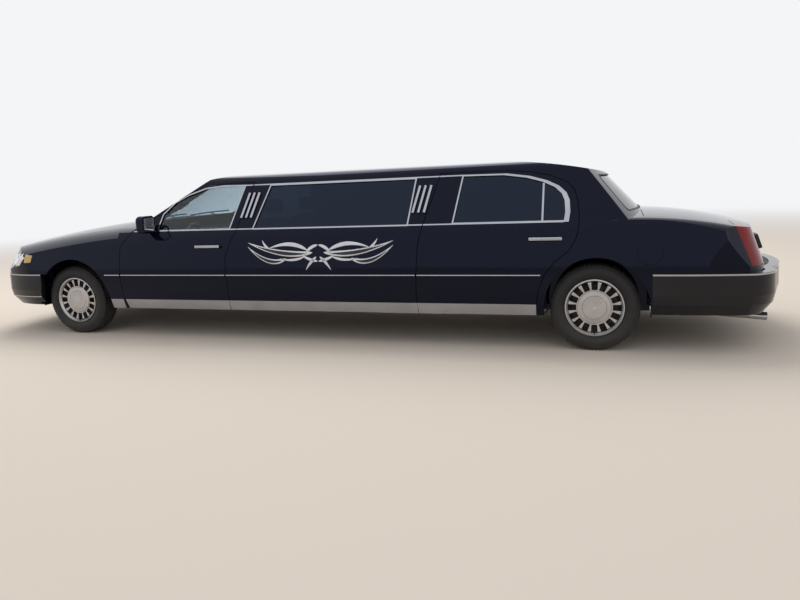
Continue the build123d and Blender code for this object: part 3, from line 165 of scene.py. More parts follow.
def makeFilm():
    # Film = amount * (1 - height / reach) squared * noise; it mixes the colour to the film's tone and the
    # roughness to 0.85.
    group, given, result = newGroup("roadFilm", (
        ("Colour", tone), ("Roughness", number), ("Film Tone", tone), ("Amount", number),
        ("Reach", number)), (("Colour", tone), ("Roughness", number)))
    place = group.nodes.new("ShaderNodeTexCoord").outputs["Object"]
    split = group.nodes.new("ShaderNodeSeparateXYZ")
    group.links.new(place, split.inputs[0])
    noise = group.nodes.new("ShaderNodeTexNoise")
    noise.inputs["Scale"].default_value = 7.0
    noise.inputs["Detail"].default_value = 7.0
    group.links.new(place, noise.inputs["Vector"])
    share = mathNode(group, "DIVIDE", split.outputs["Z"], given.outputs["Reach"])
    low = mathNode(group, "SUBTRACT", 1.0, share, clamp=True)
    mask = mathNode(group, "MULTIPLY", mathNode(group, "MULTIPLY", low, low),
                    mathNode(group, "MULTIPLY", noise.outputs["Fac"], given.outputs["Amount"]), clamp=True)
    group.links.new(mixColours(group, mask, given.outputs["Colour"], given.outputs["Film Tone"]),
                    result.inputs["Colour"])
    dull = mathNode(group, "SUBTRACT", 0.85, given.outputs["Roughness"])
    rough = mathNode(group, "ADD", given.outputs["Roughness"], mathNode(group, "MULTIPLY", dull, mask))
    group.links.new(rough, result.inputs["Roughness"])
    return group


grainGroup = makeGrain()
filmGroup = makeFilm()

# tone: low and high colour, rough: low and high roughness, grain: fine and broad scale per metre, bump:
# strength and depth of the fine noise, film: amount and reach of the road dust, set: plain shader values
finishes = {
    "body_paint": {"tone": ((0.0018, 0.0021, 0.0062), (0.0028, 0.0033, 0.0095)), "rough": (0.04, 0.08),
                   "grain": (160.0, 2.2), "bump": (0.02, 0.0002), "film": (0.05, 0.62),
                   # painted reflection: the bluish specular tint turns the pale backdrop's reflections in the
                   # paint sky blue
                   "set": {"Specular IOR Level": 0.22, "Specular Tint": (0.55, 0.62, 1.0, 1.0),
                           "Coat Weight": 0.06, "Coat Roughness": 0.02, "Coat IOR": 1.5,
                           "Coat Tint": (0.8, 0.85, 1.0, 1.0)}},
    "chassis_steel": {"tone": ((0.012, 0.012, 0.012), (0.03, 0.028, 0.026)), "rough": (0.45, 0.7),
                      "grain": (90.0, 6.0), "bump": (0.3, 0.001), "film": (0.7, 0.9), "set": {}},
    "black_trim": {"tone": ((0.008, 0.008, 0.009), (0.016, 0.016, 0.017)), "rough": (0.45, 0.65),
                   "grain": (420.0, 9.0), "bump": (0.25, 0.0006), "film": (0.2, 0.6), "set": {}},
    "bumper_black": {"tone": ((0.0045, 0.0045, 0.007), (0.008, 0.008, 0.011)), "rough": (0.1, 0.18),
                     "grain": (140.0, 3.0), "bump": (0.03, 0.0003), "film": (0.16, 0.62),
                     "set": {"Specular IOR Level": 0.28, "Coat Weight": 0.15, "Coat Roughness": 0.05}},
    "chrome": {"tone": ((0.40, 0.41, 0.45), (0.51, 0.52, 0.56)), "rough": (0.06, 0.15),
               "grain": (60.0, 5.0), "bump": (0.02, 0.0002), "film": (0.25, 0.5), "set": {"Metallic": 1.0}},
    "lamp_glass": {"tone": ((0.90, 0.92, 0.93), (0.96, 0.97, 0.97)), "rough": (0.02, 0.05),
                   "grain": (40.0, 3.0), "bump": (0.02, 0.0003), "film": (0.1, 0.6),
                   "set": {"Transmission Weight": 1.0, "IOR": 1.42}},
    "tail_glass": {"tone": ((0.13, 0.0015, 0.003), (0.24, 0.003, 0.006)), "rough": (0.10, 0.18),
                   "grain": (30.0, 5.0), "bump": (0.05, 0.0005), "film": (0.03, 0.9),
                   "set": {"Specular IOR Level": 0.18, "Specular Tint": (1.0, 0.35, 0.35, 1.0),
                           "Coat Weight": 0.05, "Coat Roughness": 0.04}},
    "dark_glass": {"tone": ((0.0045, 0.0058, 0.0125), (0.0062, 0.0078, 0.0155)), "rough": (0.0, 0.015),
                   "grain": (14.0, 1.4), "bump": (0.005, 0.0003), "film": (0.0, 0.6),
                   # painted reflection: the bluish specular tint turns the pale backdrop's reflections in the
                   # glass sky blue
                   "set": {"Transmission Weight": 1.0, "IOR": 1.50, "Specular Tint": (0.50, 0.66, 1.0, 1.0)}},
    "clear_glass": {"tone": ((0.66, 0.76, 0.82), (0.70, 0.80, 0.86)), "rough": (0.0, 0.012),
                    "grain": (14.0, 1.4), "bump": (0.01, 0.0003), "film": (0.0, 0.6),
                    "set": {"Transmission Weight": 1.0, "IOR": 1.40}},
    "cast_metal": {"tone": ((0.05, 0.05, 0.052), (0.11, 0.105, 0.1)), "rough": (0.5, 0.75),
                   "grain": (260.0, 12.0), "bump": (0.5, 0.001), "film": (0.6, 0.7),
                   "set": {"Metallic": 0.8}},
    "exhaust_steel": {"tone": ((0.30, 0.28, 0.25), (0.46, 0.44, 0.41)), "rough": (0.28, 0.5),
                      "grain": (80.0, 7.0), "bump": (0.15, 0.0006), "film": (0.6, 0.5),
                      "set": {"Metallic": 1.0}},
    "seat_leather": {"tone": ((0.028, 0.028, 0.031), (0.05, 0.05, 0.054)), "rough": (0.38, 0.55),
                     "grain": (380.0, 8.0), "bump": (0.45, 0.0012), "film": (0.0, 0.5), "set": {}},
    "interior_plastic": {"tone": ((0.024, 0.024, 0.027), (0.036, 0.036, 0.04)), "rough": (0.5, 0.68),
                         "grain": (520.0, 6.0), "bump": (0.35, 0.0008), "film": (0.0, 0.5), "set": {}},
    "wheel_alloy": {"tone": ((0.40, 0.39, 0.395), (0.54, 0.53, 0.535)), "rough": (0.2, 0.34),
                    "grain": (300.0, 16.0), "bump": (0.08, 0.0003), "film": (0.35, 0.6),
                    "set": {"Metallic": 1.0}},
    "tyre": {"tone": ((0.010, 0.0097, 0.0108), (0.018, 0.0172, 0.0185)), "rough": (0.5, 0.7),
             "grain": (500.0, 20.0), "bump": (0.3, 0.0008), "film": (0.22, 0.72),
             "set": {"Specular IOR Level": 0.35}},
    # painted shade: near-black tone of the piece behind the wheel's windows, standing in for the shade inside
    # the rim
    "paintedShadeRecess": {"tone": ((0.006, 0.006, 0.006), (0.016, 0.014, 0.012)), "rough": (0.6, 0.85),
                    "grain": (220.0, 20.0), "bump": (0.3, 0.0008), "film": (0.2, 0.6), "set": {}},
    "bladeSilver": {"tone": ((0.50, 0.51, 0.53), (0.72, 0.73, 0.75)), "rough": (0.25, 0.4),
                    "grain": (700.0, 10.0), "bump": (0.1, 0.0002), "film": (0.0, 0.5),
                    "set": {"Metallic": 0.75}},
    "bladeDark": {"tone": ((0.012, 0.012, 0.018), (0.03, 0.03, 0.038)), "rough": (0.2, 0.35),
                  "grain": (700.0, 10.0), "bump": (0.1, 0.0002), "film": (0.0, 0.5),
                  "set": {"Metallic": 0.4}},
    # pale lens: the reflector's own tone; laid opaque over the lamp's corner it is partly a painted highlight
    "paleLens": {"tone": ((0.74, 0.75, 0.74), (0.86, 0.86, 0.84)), "rough": (0.04, 0.1),
                 "grain": (60.0, 8.0), "bump": (0.2, 0.001), "film": (0.0, 0.5),
                 "set": {"Metallic": 0.5, "Coat Weight": 0.6, "Coat Roughness": 0.03}},
    # amber lens, paled towards yellow-white: partly a painted highlight on the lamp and the wing
    "amberLensAndHighlight": {"tone": ((0.86, 0.55, 0.16), (0.95, 0.72, 0.32)), "rough": (0.06, 0.14),
                  "grain": (60.0, 8.0), "bump": (0.2, 0.001), "film": (0.0, 0.5),
                  "set": {"Transmission Weight": 0.35, "Coat Weight": 0.4, "Coat Roughness": 0.03}},
    "plateWhite": {"tone": ((0.68, 0.68, 0.66), (0.78, 0.78, 0.76)), "rough": (0.3, 0.45),
                   "grain": (500.0, 14.0), "bump": (0.05, 0.0003), "film": (0.1, 0.9), "set": {}},
    "mirrorSilver": {"tone": ((0.84, 0.86, 0.87), (0.9, 0.91, 0.92)), "rough": (0.01, 0.03),
                     "grain": (20.0, 3.0), "bump": (0.01, 0.0001), "film": (0.0, 0.5),
                     "set": {"Metallic": 1.0}},
}
filmTone = (0.27, 0.24, 0.20, 1.0)
roofSeams = {"places": (fromFront(2005), fromFront(3709)), "half": 0.0016, "above": 1.395,
             "tone": (0.001, 0.001, 0.001, 1.0)}
clearPane = {"ahead": fromFront(1600), "tone": (0.66, 0.77, 0.83, 1.0)}


def roofSeamMask(tree):
    # Mask = 1 where |x - seam| is under the half width and z is above the roof's edge.
    place = objectPlace(tree)
    apart = [mathNode(tree, "ABSOLUTE", mathNode(tree, "SUBTRACT", place["X"], seam))
             for seam in roofSeams["places"]]
    near = [mathNode(tree, "LESS_THAN", distance, roofSeams["half"]) for distance in apart]
    high = mathNode(tree, "GREATER_THAN", place["Z"], roofSeams["above"])
    return mathNode(tree, "MULTIPLY", mathNode(tree, "ADD", *near, clamp=True), high)


def windscreenMask(tree):
    # Mask = 1 ahead of the front pillar: the windscreen is clear and the other fixed panes are tinted.
    return mathNode(tree, "LESS_THAN", objectPlace(tree)["X"], clearPane["ahead"])


def makeFinish(name, spec):
    # Grain gives colour, roughness and height; the road film goes over the first two.
    material = bpy.data.materials.new(name)
    material.use_nodes = True
    tree = material.node_tree
    shader = tree.nodes["Principled BSDF"]
    grain = tree.nodes.new("ShaderNodeGroup")
    grain.node_tree = grainGroup
    for label, value in (("Fine Scale", spec["grain"][0]), ("Broad Scale", spec["grain"][1]),
                         ("Low Tone", spec["tone"][0] + (1.0,)), ("High Tone", spec["tone"][1] + (1.0,)),
                         ("Low Roughness", spec["rough"][0]), ("High Roughness", spec["rough"][1])):
        grain.inputs[label].default_value = value
    film = tree.nodes.new("ShaderNodeGroup")
    film.node_tree = filmGroup
    film.inputs["Film Tone"].default_value = filmTone
    film.inputs["Amount"].default_value = spec["film"][0]
    film.inputs["Reach"].default_value = spec["film"][1]
    tree.links.new(grain.outputs["Colour"], film.inputs["Colour"])
    tree.links.new(grain.outputs["Roughness"], film.inputs["Roughness"])
    bump = tree.nodes.new("ShaderNodeBump")
    bump.inputs["Strength"].default_value = spec["bump"][0]
    bump.inputs["Distance"].default_value = spec["bump"][1]
    colour = film.outputs["Colour"]
    if name == "body_paint":
        colour = mixColours(tree, roofSeamMask(tree), colour, roofSeams["tone"])
    if name == "dark_glass":
        colour = mixColours(tree, windscreenMask(tree), colour, clearPane["tone"])
    tree.links.new(grain.outputs["Height"], bump.inputs["Height"])
    tree.links.new(colour, shader.inputs["Base Color"])
    tree.links.new(film.outputs["Roughness"], shader.inputs["Roughness"])
    tree.links.new(bump.outputs["Normal"], shader.inputs["Normal"])
    for label, value in spec["set"].items():
        shader.inputs[label].default_value = value
    return material


materials = {name: makeFinish(name, spec) for name, spec in finishes.items()}
for entry in frame["record"]["subparts"]:
    cadObject = frame["nodes"][entry["node"]]
    for slot in cadObject.material_slots:
        slot.material = materials[entry["material_slot"]]
print("finishes made")


# Surfaces on grids of points
def addPiece(name, grid, finish, body, closeRows=False, closeColumns=False, capRows=False,
             sharp=35.0):
    # Quads join neighbouring rows and columns of points; a closed direction wraps round, and a cap is one
    # flat face over the first and the last row.
    rows, columns = grid.shape[:2]
    index = np.arange(rows * columns).reshape(rows, columns)
    down = np.arange(rows if closeRows else rows - 1)
    along = np.arange(columns if closeColumns else columns - 1)
    nextDown, nextAlong = (down + 1) % rows, (along + 1) % columns
    quads = np.stack((index[np.ix_(down, along)], index[np.ix_(down, nextAlong)],
                      index[np.ix_(nextDown, nextAlong)], index[np.ix_(nextDown, along)]), axis=-1)
    faces = quads.reshape(-1, 4).tolist()
    if capRows:
        faces += [index[0].tolist(), index[-1, ::-1].tolist()]
    mesh = bpy.data.meshes.new(name)
    mesh.from_pydata(grid.reshape(-1, 3).tolist(), [], faces)
    work = bmesh.new()
    work.from_mesh(mesh)
    bmesh.ops.remove_doubles(work, verts=work.verts, dist=1e-6)
    bmesh.ops.recalc_face_normals(work, faces=work.faces)
    work.to_mesh(mesh)
    work.free()
    mesh.polygons.foreach_set("use_smooth", np.ones(len(mesh.polygons), dtype=bool))
    mesh.set_sharp_from_angle(angle=math.radians(sharp))
    mesh.materials.append(materials[finish])
    piece = bpy.data.objects.new(name, mesh)
    bpy.context.scene.collection.objects.link(piece)
    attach(piece, body)
    return piece


def addRod(name, path, section, up, finish, body):
    # A section carried along a path, with a flat cap at each end.
    return addPiece(name, swept(path, section, up), finish, body, closeColumns=True, capRows=True)


def pointsAt(x, y, z):
    # Points from X, Y and Z, each an array or one number.
    return np.stack(np.broadcast_arrays(x, y, z), axis=-1)


def boxCorners(half):
    # The corners of a rectangle from its half width and half height.
    return np.array(((-1, -1), (1, -1), (1, 1), (-1, 1))) * np.array(half)


def arcThrough(first, middle, last, count):
    # Points at even angles on the circle through three points.
    (ax, ay), (bx, by), (cx, cy) = first, middle, last
    a, b, c = ax * ax + ay * ay, bx * bx + by * by, cx * cx + cy * cy
    d = 2 * (ax * (by - cy) + bx * (cy - ay) + cx * (ay - by))
    ux = (a * (by - cy) + b * (cy - ay) + c * (ay - by)) / d
    uy = (a * (cx - bx) + b * (ax - cx) + c * (bx - ax)) / d
    radius = math.hypot(ax - ux, ay - uy)
    start = math.atan2(ay - uy, ax - ux)
    sweep = (math.atan2(cy - uy, cx - ux) - start + math.pi) % (2 * math.pi) - math.pi
    angle = start + sweep * np.linspace(0.0, 1.0, count)
    return np.stack((ux + radius * np.cos(angle), uy + radius * np.sin(angle)), axis=-1)


def turned(profile, origin, axis, steps):
    # Point = origin + axis * along + radius * (cos angle * one cross direction + sin angle * the other).
    axis = np.array(axis, dtype=float)
    axis /= np.linalg.norm(axis)
    cross = np.cross(axis, (0.0, 0.0, 1.0))
    cross /= np.linalg.norm(cross)
    other = np.cross(axis, cross)
    angle = np.linspace(0.0, 2 * math.pi, steps, endpoint=False)[:, None, None]
    radius, along = profile[None, :, :1], profile[None, :, 1:]
    return np.array(origin) + axis * along + radius * (np.cos(angle) * cross + np.sin(angle) * other)


def swept(path, section, up, closed=False):
    # Point = path + side * across + lift * high, with side = tangent x up and lift = side x tangent.
    if closed:
        tangent = np.roll(path, -1, axis=0) - np.roll(path, 1, axis=0)
    else:
        tangent = np.gradient(path, axis=0)
    tangent /= np.linalg.norm(tangent, axis=1, keepdims=True)
    side = np.cross(tangent, np.array(up, dtype=float))
    side /= np.linalg.norm(side, axis=1, keepdims=True)
    lift = np.cross(side, tangent)
    return path[:, None] + section[None, :, :1] * side[:, None] + section[None, :, 1:] * lift[:, None]


def roundedLoop(corners, radius, steps):
    # Each corner of an outline becomes a quadratic curve between the points one radius away from it.
    corners = np.array(corners, dtype=float)
    before, after = np.roll(corners, 1, axis=0) - corners, np.roll(corners, -1, axis=0) - corners
    before = corners + radius * before / np.linalg.norm(before, axis=1, keepdims=True)
    after = corners + radius * after / np.linalg.norm(after, axis=1, keepdims=True)
    t = np.linspace(0.0, 1.0, steps)[None, :, None]
    curve = (1 - t) ** 2 * before[:, None] + 2 * t * (1 - t) * corners[:, None] + t ** 2 * after[:, None]
    return curve.reshape(-1, 2)


def panelGrid(loop, centre, across, up, rings):
    # Rings of an outline: point = centre + scale * (across * x + up * y) + normal * depth.
    across, up = np.array(across, dtype=float), np.array(up, dtype=float)
    normal = np.cross(across, up)
    return np.stack([np.array(centre) + scale * (loop[:, :1] * across + loop[:, 1:] * up) + normal * depth
                     for scale, depth in rings])


def roundSection(radius, count, flat=1.0):
    # An ellipse whose height is flat times its width.
    angle = np.linspace(0.0, 2 * math.pi, count, endpoint=False)
    return np.stack((radius * np.cos(angle), flat * radius * np.sin(angle)), axis=-1)


# Tyres: the moulded section with ridged sidewalls, ring grooves and slots across the tread
# Section points are radius and offset; slots lie between two offsets, outside a radius.
tyreShape = {
    "radius": 0.334, "shoulder": 0.074, "halfTrack": {"front": 0.805, "rear": 0.833},
    "bead": ((0.203, 0.0), (0.203, 0.081), (0.2215, 0.0875)),
    "wall": ((0.227, 0.091), (0.284, 0.1105), (0.318, 0.092)),
    "edge": ((0.321, 0.0905), (0.3305, 0.0845)),
    "ridges": 5, "ridgeStart": 0.292, "ridgeSpan": 0.024, "ridgeDepth": 0.0007,
    "ringGrooves": (-0.047, -0.0155, 0.0155, 0.047), "grooveHalf": 0.0052, "grooveDepth": 0.0075,
    "slots": 72, "slotDepth": 0.006, "edgeSlots": (0.054, 0.120, 0.325),
    "middleSlots": (0.021, 0.041, 0.3335),
}
# Painted shade piece behind the wheel's windows, as radius and offset points; its near-black tone stands in
# for the shade inside the rim
paintedShadeRecess = np.array(((0.130, 0.0312), (0.172, 0.0292), (0.176, 0.0300), (0.1895, 0.0505),
                        (0.1885, 0.0525), (0.174, 0.0325), (0.130, 0.0335)))
valve = {"line": ((0.0, 0.074, -0.196), (0.0, 0.088, -0.199), (0.0, 0.101, -0.203)), "radius": 0.0042}


def tyreSection(spec):
    # Bead, bowed sidewall less ridges = depth * (1 - cosine), rounded edge, and tread = radius less a
    # flat-bottomed groove = depth * 1.6 * (1 - distance / half width), held between 0 and the depth.
    wall = arcThrough(*spec["wall"], 26)
    rise = wall[:, 0] - spec["ridgeStart"]
    ripple = spec["ridgeDepth"] * (1 - np.cos(2 * math.pi * spec["ridges"] * rise / spec["ridgeSpan"]))
    wall[:, 1] -= np.where((rise > 0) & (rise < spec["ridgeSpan"]), ripple, 0.0)
    edge = arcThrough(*spec["edge"], (spec["radius"], spec["shoulder"]), 6)
    half = np.concatenate((spec["bead"], wall, edge))
    across = np.linspace(spec["shoulder"], -spec["shoulder"], 75)[1:-1]
    depth = np.zeros_like(across)
    for groove in spec["ringGrooves"]:
        reach = np.clip(np.abs(across - groove) / spec["grooveHalf"], 0.0, 1.0)
        depth += spec["grooveDepth"] * np.clip(1.6 * (1 - reach), 0.0, 1.0)
    tread = np.stack((spec["radius"] - depth, across), axis=-1)
    return np.concatenate((half, tread, half[1:][::-1] * (1.0, -1.0)))


def slotZone(section, least, most, radius):
    # True where the section's offset lies between two values and its radius is over a third.
    offset = np.abs(section[:, 1])
    return (offset > least) & (offset < most) & (section[:, 0] > radius)


section = tyreSection(tyreShape)
stepsRound = 3 * tyreShape["slots"]
stepIndex = np.arange(stepsRound)[:, None]
slotCut = tyreShape["slotDepth"] * ((stepIndex % 3 == 0) & slotZone(section, *tyreShape["edgeSlots"])
                                    | (stepIndex % 6 == 2) & slotZone(section, *tyreShape["middleSlots"]))
for axle, axleX in (("front", frontAxle), ("rear", rearAxle)):
    for hand, sign in sides:
        wheel = axle + "_wheel_" + hand
        centre = np.array((axleX, sign * tyreShape["halfTrack"][axle], tyreShape["radius"]))
        outwards = (0.0, sign, 0.0)
        grid = turned(section, centre, outwards, stepsRound)
        spoke = grid - centre
        spoke[..., 1] = 0.0
        grid -= spoke / np.linalg.norm(spoke, axis=-1, keepdims=True) * slotCut[..., None]
        tyre = addPiece(axle + "TyreTread" + hand.capitalize(), grid, "tyre", wheel, closeRows=True,
                        closeColumns=True, sharp=28.0)
        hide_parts(axle + "_tyre_" + hand)
        # Painted shade: a near-black piece behind the wheel's windows stands in for the shade inside the rim;
        # and the valve
        addPiece(axle + "WheelPaintedShade" + hand.capitalize(), turned(paintedShadeRecess, centre, outwards, 72),
                 "paintedShadeRecess", wheel, closeRows=True, closeColumns=True)
        addRod(axle + "WheelValve" + hand.capitalize(), centre + np.array(valve["line"]) * (1.0, sign, 1.0),
               roundSection(valve["radius"], 12), (1.0, 0.0, 0.0), "black_trim", wheel)
print("tyres done")

# Bright line let into the side mouldings; each length rides with its own panel
mouldingLine = {
    "face": 0.9932, "sunk": 0.0006, "height": 0.5925, "halfHeight": 0.0042, "bulge": 0.0014,
    "lengths": (
        ("body", "wing", fromFront(443), fromFront(614)),
        ("front_door", "frontDoor", fromFront(628), fromFront(1744)),
        ("body", "side", fromFront(1758), fromRear(-1393)),
        ("rear_door", "rearDoor", fromRear(-1377), fromRear(-397)),
    ),
}
oval = roundSection(mouldingLine["bulge"], 16, mouldingLine["halfHeight"] / mouldingLine["bulge"])
for hand, sign in sides:
    for panel, label, start, end in mouldingLine["lengths"]:
        line = pointsAt(np.linspace(start, end, 24), sign * (mouldingLine["face"] - mouldingLine["sunk"]),
                        mouldingLine["height"])
        addRod(label + "MouldingLine" + hand.capitalize(), line, oval, (0.0, 0.0, 1.0), "chrome",
               panel if panel == "body" else panel + "_" + hand)
print("moulding lines done")

# Silver ornament of swept blades on the middle panel, alike on both sides of its own middle
# blades: start, pull and tip in metres from the middle, and the widest half width
ornament = {
    "centre": np.array((fromFront(2655), 0.770)), "thick": 0.0007, "leastHalf": 0.0004, "blades": (
        ((0.050, 0.015), (0.340, -0.030), (0.668, 0.105), 0.0250),
        ((0.100, 0.035), (0.260, 0.130), (0.470, 0.050), 0.0165),
        ((0.300, -0.035), (0.460, -0.120), (0.668, 0.070), 0.0210),
        ((0.455, 0.045), (0.500, 0.065), (0.530, 0.125), 0.0100),
        ((0.004, 0.078), (0.090, 0.062), (0.132, -0.020), 0.0130),
        ((0.004, -0.058), (0.080, -0.052), (0.165, 0.002), 0.0120),
        ((0.016, -0.022), (0.070, -0.060), (0.116, -0.134), 0.0115),
        ((0.130, -0.022), (0.240, -0.066), (0.360, -0.034), 0.0100),
    ),
    "inlaid": (0, 2), "inlayWidth": 0.58, "inlayEnds": (0.12, 0.88), "inlayThick": 1.6,
}
outside = 1.3  # sheets start this far from the car's middle, beyond its mirrors


def bladeSheet(start, pull, tip, width, first=0.0, last=1.0):
    # Middle line = (1-t)^2 start + 2t(1-t) pull + t^2 tip; half width = width * (sin(pi * t^0.7))^0.8 + the
    # least half width, and an inlay between first and last also narrows by the root of
    # sin(pi * (t - first) / (last - first)).
    t = np.linspace(first, last, 40)[:, None]
    start, pull, tip = (np.array(p) for p in (start, pull, tip))
    line = (1 - t) ** 2 * start + 2 * t * (1 - t) * pull + t ** 2 * tip
    along = np.gradient(line, axis=0)
    along /= np.linalg.norm(along, axis=1, keepdims=True)
    normal = np.stack((-along[:, 1], along[:, 0]), axis=-1)
    half = width * np.abs(np.sin(math.pi * t ** 0.7)) ** 0.8
    if first > 0.0:
        half = half * np.sqrt(np.abs(np.sin(math.pi * (t - first) / (last - first))))
    half = half + ornament["leastHalf"]
    across = np.linspace(-1.0, 1.0, 7)[None, :, None]
    return line[:, None] + across * half[:, None] * normal[:, None]


def thicken(piece, thickness):
    # The sheet becomes a closed wall that grows outwards along its faces.
    wall = piece.modifiers.new("wall", "SOLIDIFY")
    wall.thickness = thickness
    wall.offset = 1.0
    finished = bpy.data.meshes.new_from_object(piece.evaluated_get(bpy.context.evaluated_depsgraph_get()))
    piece.modifiers.clear()
    piece.data = finished


def sideSheet(name, flat, sign, finish, target, thickness):
    # A sheet given in X and Z stands off the car's side with its faces outwards; each point slides along Y
    # until it meets the target, and then the sheet gets its thickness.
    piece = addPiece(name, pointsAt(flat[..., 0], sign * outside, flat[..., 1]), finish, "body")
    piece.data.update()
    if sum(face.normal.y for face in piece.data.polygons) * sign < 0:
        piece.data.flip_normals()
    wrap = piece.modifiers.new("wrap", "SHRINKWRAP")
    wrap.target = frame["nodes"][target]
    wrap.wrap_method = "PROJECT"
    wrap.use_project_y = True
    wrap.use_positive_direction = sign < 0
    wrap.use_negative_direction = sign > 0
    thicken(piece, thickness)


for hand, sign in sides:
    for mirrorName, mirror in (("Fore", -1.0), ("Aft", 1.0)):
        for bladeIndex, (start, pull, tip, width) in enumerate(ornament["blades"]):
            label = mirrorName + hand.capitalize() + str(bladeIndex)
            flat = bladeSheet(start, pull, tip, width) * (mirror, 1.0) + ornament["centre"]
            sideSheet("blade" + label, flat, sign, "bladeSilver", "body_shell", ornament["thick"])
            if bladeIndex in ornament["inlaid"]:
                flat = bladeSheet(start, pull, tip, width * ornament["inlayWidth"], *ornament["inlayEnds"])
                sideSheet("bladeInlay" + label, flat * (mirror, 1.0) + ornament["centre"], sign, "bladeDark",
                          "body_shell", ornament["thick"] * ornament["inlayThick"])
print("ornament done")

# Headlamps: a reflector with two bowls behind the clear lens, bulbs, a pale corner lens and the amber lens;
# both lens sheets are partly painted highlight, their pale tones standing in for a bright highlight on the
# lamp's corner and the wing
# lensPlace: Y and X of the lens's inner face; bowls: Y and radius; bulb: greatest radius and length
headlamp = {
    "lensPlace": ((0.40, -0.967), (0.50, -0.954), (0.60, -0.937), (0.65, -0.924), (0.70, -0.901),
                  (0.75, -0.867), (0.80, -0.824), (0.855, -0.751), (0.885, -0.708)),
    "slope": 0.55, "behind": 0.020, "across": (0.404, 0.872), "height": (0.646, 0.744), "level": 0.700,
    "bowls": ((0.487, 0.043), (0.598, 0.041)), "bowlDepth": 0.045, "wall": 0.0015, "bulb": (0.008, 0.034),
}
# Sheets laid on the lamp and on the wing, partly painted highlight, as their pale tones stand in for a bright
# highlight there: finish, what carries them, steps and corners in X and Z
lensSheets = (
    ("headlampCornerAndHighlight", "paleLens", "headlamps", (16, 8),
     ((-759, 0.704), (-600, 0.682), (-512, 0.757), (-530, 0.800))),
    ("headlampAmberAndHighlight", "amberLensAndHighlight", "front_wings", (12, 8),
     ((-518, 0.712), (-436, 0.716), (-408, 0.784), (-496, 0.800))),
)
lensThick = 0.0009


def reflectorPlace(y, z):
    # X = lens inside + slope * (z - level) + gap, and each bowl adds depth * (1 - (distance / radius)^2).
    x = np.interp(y, *np.array(headlamp["lensPlace"]).T) + headlamp["slope"] * (z - headlamp["level"])
    for bowlY, bowlRadius in headlamp["bowls"]:
        near = ((y - bowlY) ** 2 + (z - headlamp["level"]) ** 2) / bowlRadius ** 2
        x = x + headlamp["bowlDepth"] * np.clip(1.0 - near, 0.0, 1.0)
    return frontAxle + headlamp["behind"] + x


def fourSided(corners, rows, columns):
    # Point = (1 - v) * ((1 - u) * a + u * b) + v * ((1 - u) * d + u * c) between corners a, b, c and d.
    u = np.linspace(0.0, 1.0, rows)[:, None, None]
    v = np.linspace(0.0, 1.0, columns)[None, :, None]
    a, b, c, d = np.array(corners)
    flat = (1 - v) * ((1 - u) * a + u * b) + v * ((1 - u) * d + u * c)
    return np.stack((fromFront(flat[..., 0]), flat[..., 1]), axis=-1)


reach = np.linspace(0.0, 1.0, 14)
bulb = np.stack((headlamp["bulb"][0] * np.sin(reach * math.pi), headlamp["bulb"][1] * reach), axis=-1)
y, z = np.meshgrid(np.linspace(*headlamp["across"], 140), np.linspace(*headlamp["height"], 44),
                   indexing="ij")
for hand, sign in sides:
    reflector = addPiece("headlampReflector" + hand.capitalize(), pointsAt(reflectorPlace(y, z), sign * y, z),
                         "paleLens", "body", sharp=50.0)
    thicken(reflector, headlamp["wall"])
    for bulbIndex, bowl in enumerate(headlamp["bowls"]):
        centre = (reflectorPlace(bowl[0], headlamp["level"]), sign * bowl[0], headlamp["level"])
        addPiece("headlampBulb" + hand.capitalize() + str(bulbIndex),
                 turned(bulb, centre, (-1.0, 0.0, 0.0), 20), "plateWhite", "body", closeRows=True)
    for label, finish, target, steps, corners in lensSheets:
        sideSheet(label + hand.capitalize(), fourSided(corners, *steps), sign, finish, target, lensThick)
print("headlamps done")

# Inner wall of each front wheel house, with the opening that the suspension passes through
wheelHouse = {"centre": (fromFront(22), 0.521, 0.334), "inner": 0.150, "outer": 0.4435, "thick": 0.004,
              "ends": (-8.0, 188.0)}
for hand, sign in sides:
    middleX, middleY, middleZ = wheelHouse["centre"]
    inner, outer, thick = wheelHouse["inner"], wheelHouse["outer"], wheelHouse["thick"]
    ring = np.array(((inner, 0.0), (inner + thick, thick), (outer, thick), (outer, 0.0)))
    angle = np.radians(np.linspace(*wheelHouse["ends"], 64))[:, None]
    grid = pointsAt(middleX + ring[:, 0] * np.cos(angle), sign * (middleY + ring[:, 1]),
                    middleZ + ring[:, 0] * np.sin(angle))
    addPiece("wheelHouseWall" + hand.capitalize(), grid, "black_trim", "body", closeColumns=True,
             capRows=True)
print("wheel houses done")

# Rubber seals under the roof's edge, just inside the doors: x, height and side of the door's inner face
doorSeals = {
    "clear": 0.0185, "half": (0.0025, 0.018), "raise": 0.006,
    "lines": (
        ("Front", ((-1.100, 1.379, 0.658), (-1.050, 1.384, 0.655), (-0.950, 1.390, 0.651),
                   (-0.850, 1.393, 0.647), (-0.630, 1.394, 0.645))),
        ("Rear", ((1.090, 1.394, 0.645), (1.560, 1.394, 0.646), (1.650, 1.387, 0.654),
                  (1.750, 1.377, 0.659), (1.800, 1.370, 0.662), (1.860, 1.356, 0.668))),
    ),
}
for hand, sign in sides:
    for label, line in doorSeals["lines"]:
        x, z, y = np.array(line).T
        run = np.linspace(x[0], x[-1], 40)
        path = pointsAt(run, sign * (np.interp(run, x, y) - doorSeals["clear"]),
                        np.interp(run, x, z) + doorSeals["raise"])
        addRod("doorSeal" + label + hand.capitalize(), path, boxCorners(doorSeals["half"]),
               (0.0, 0.0, 1.0), "black_trim", "body")
print("door seals done")

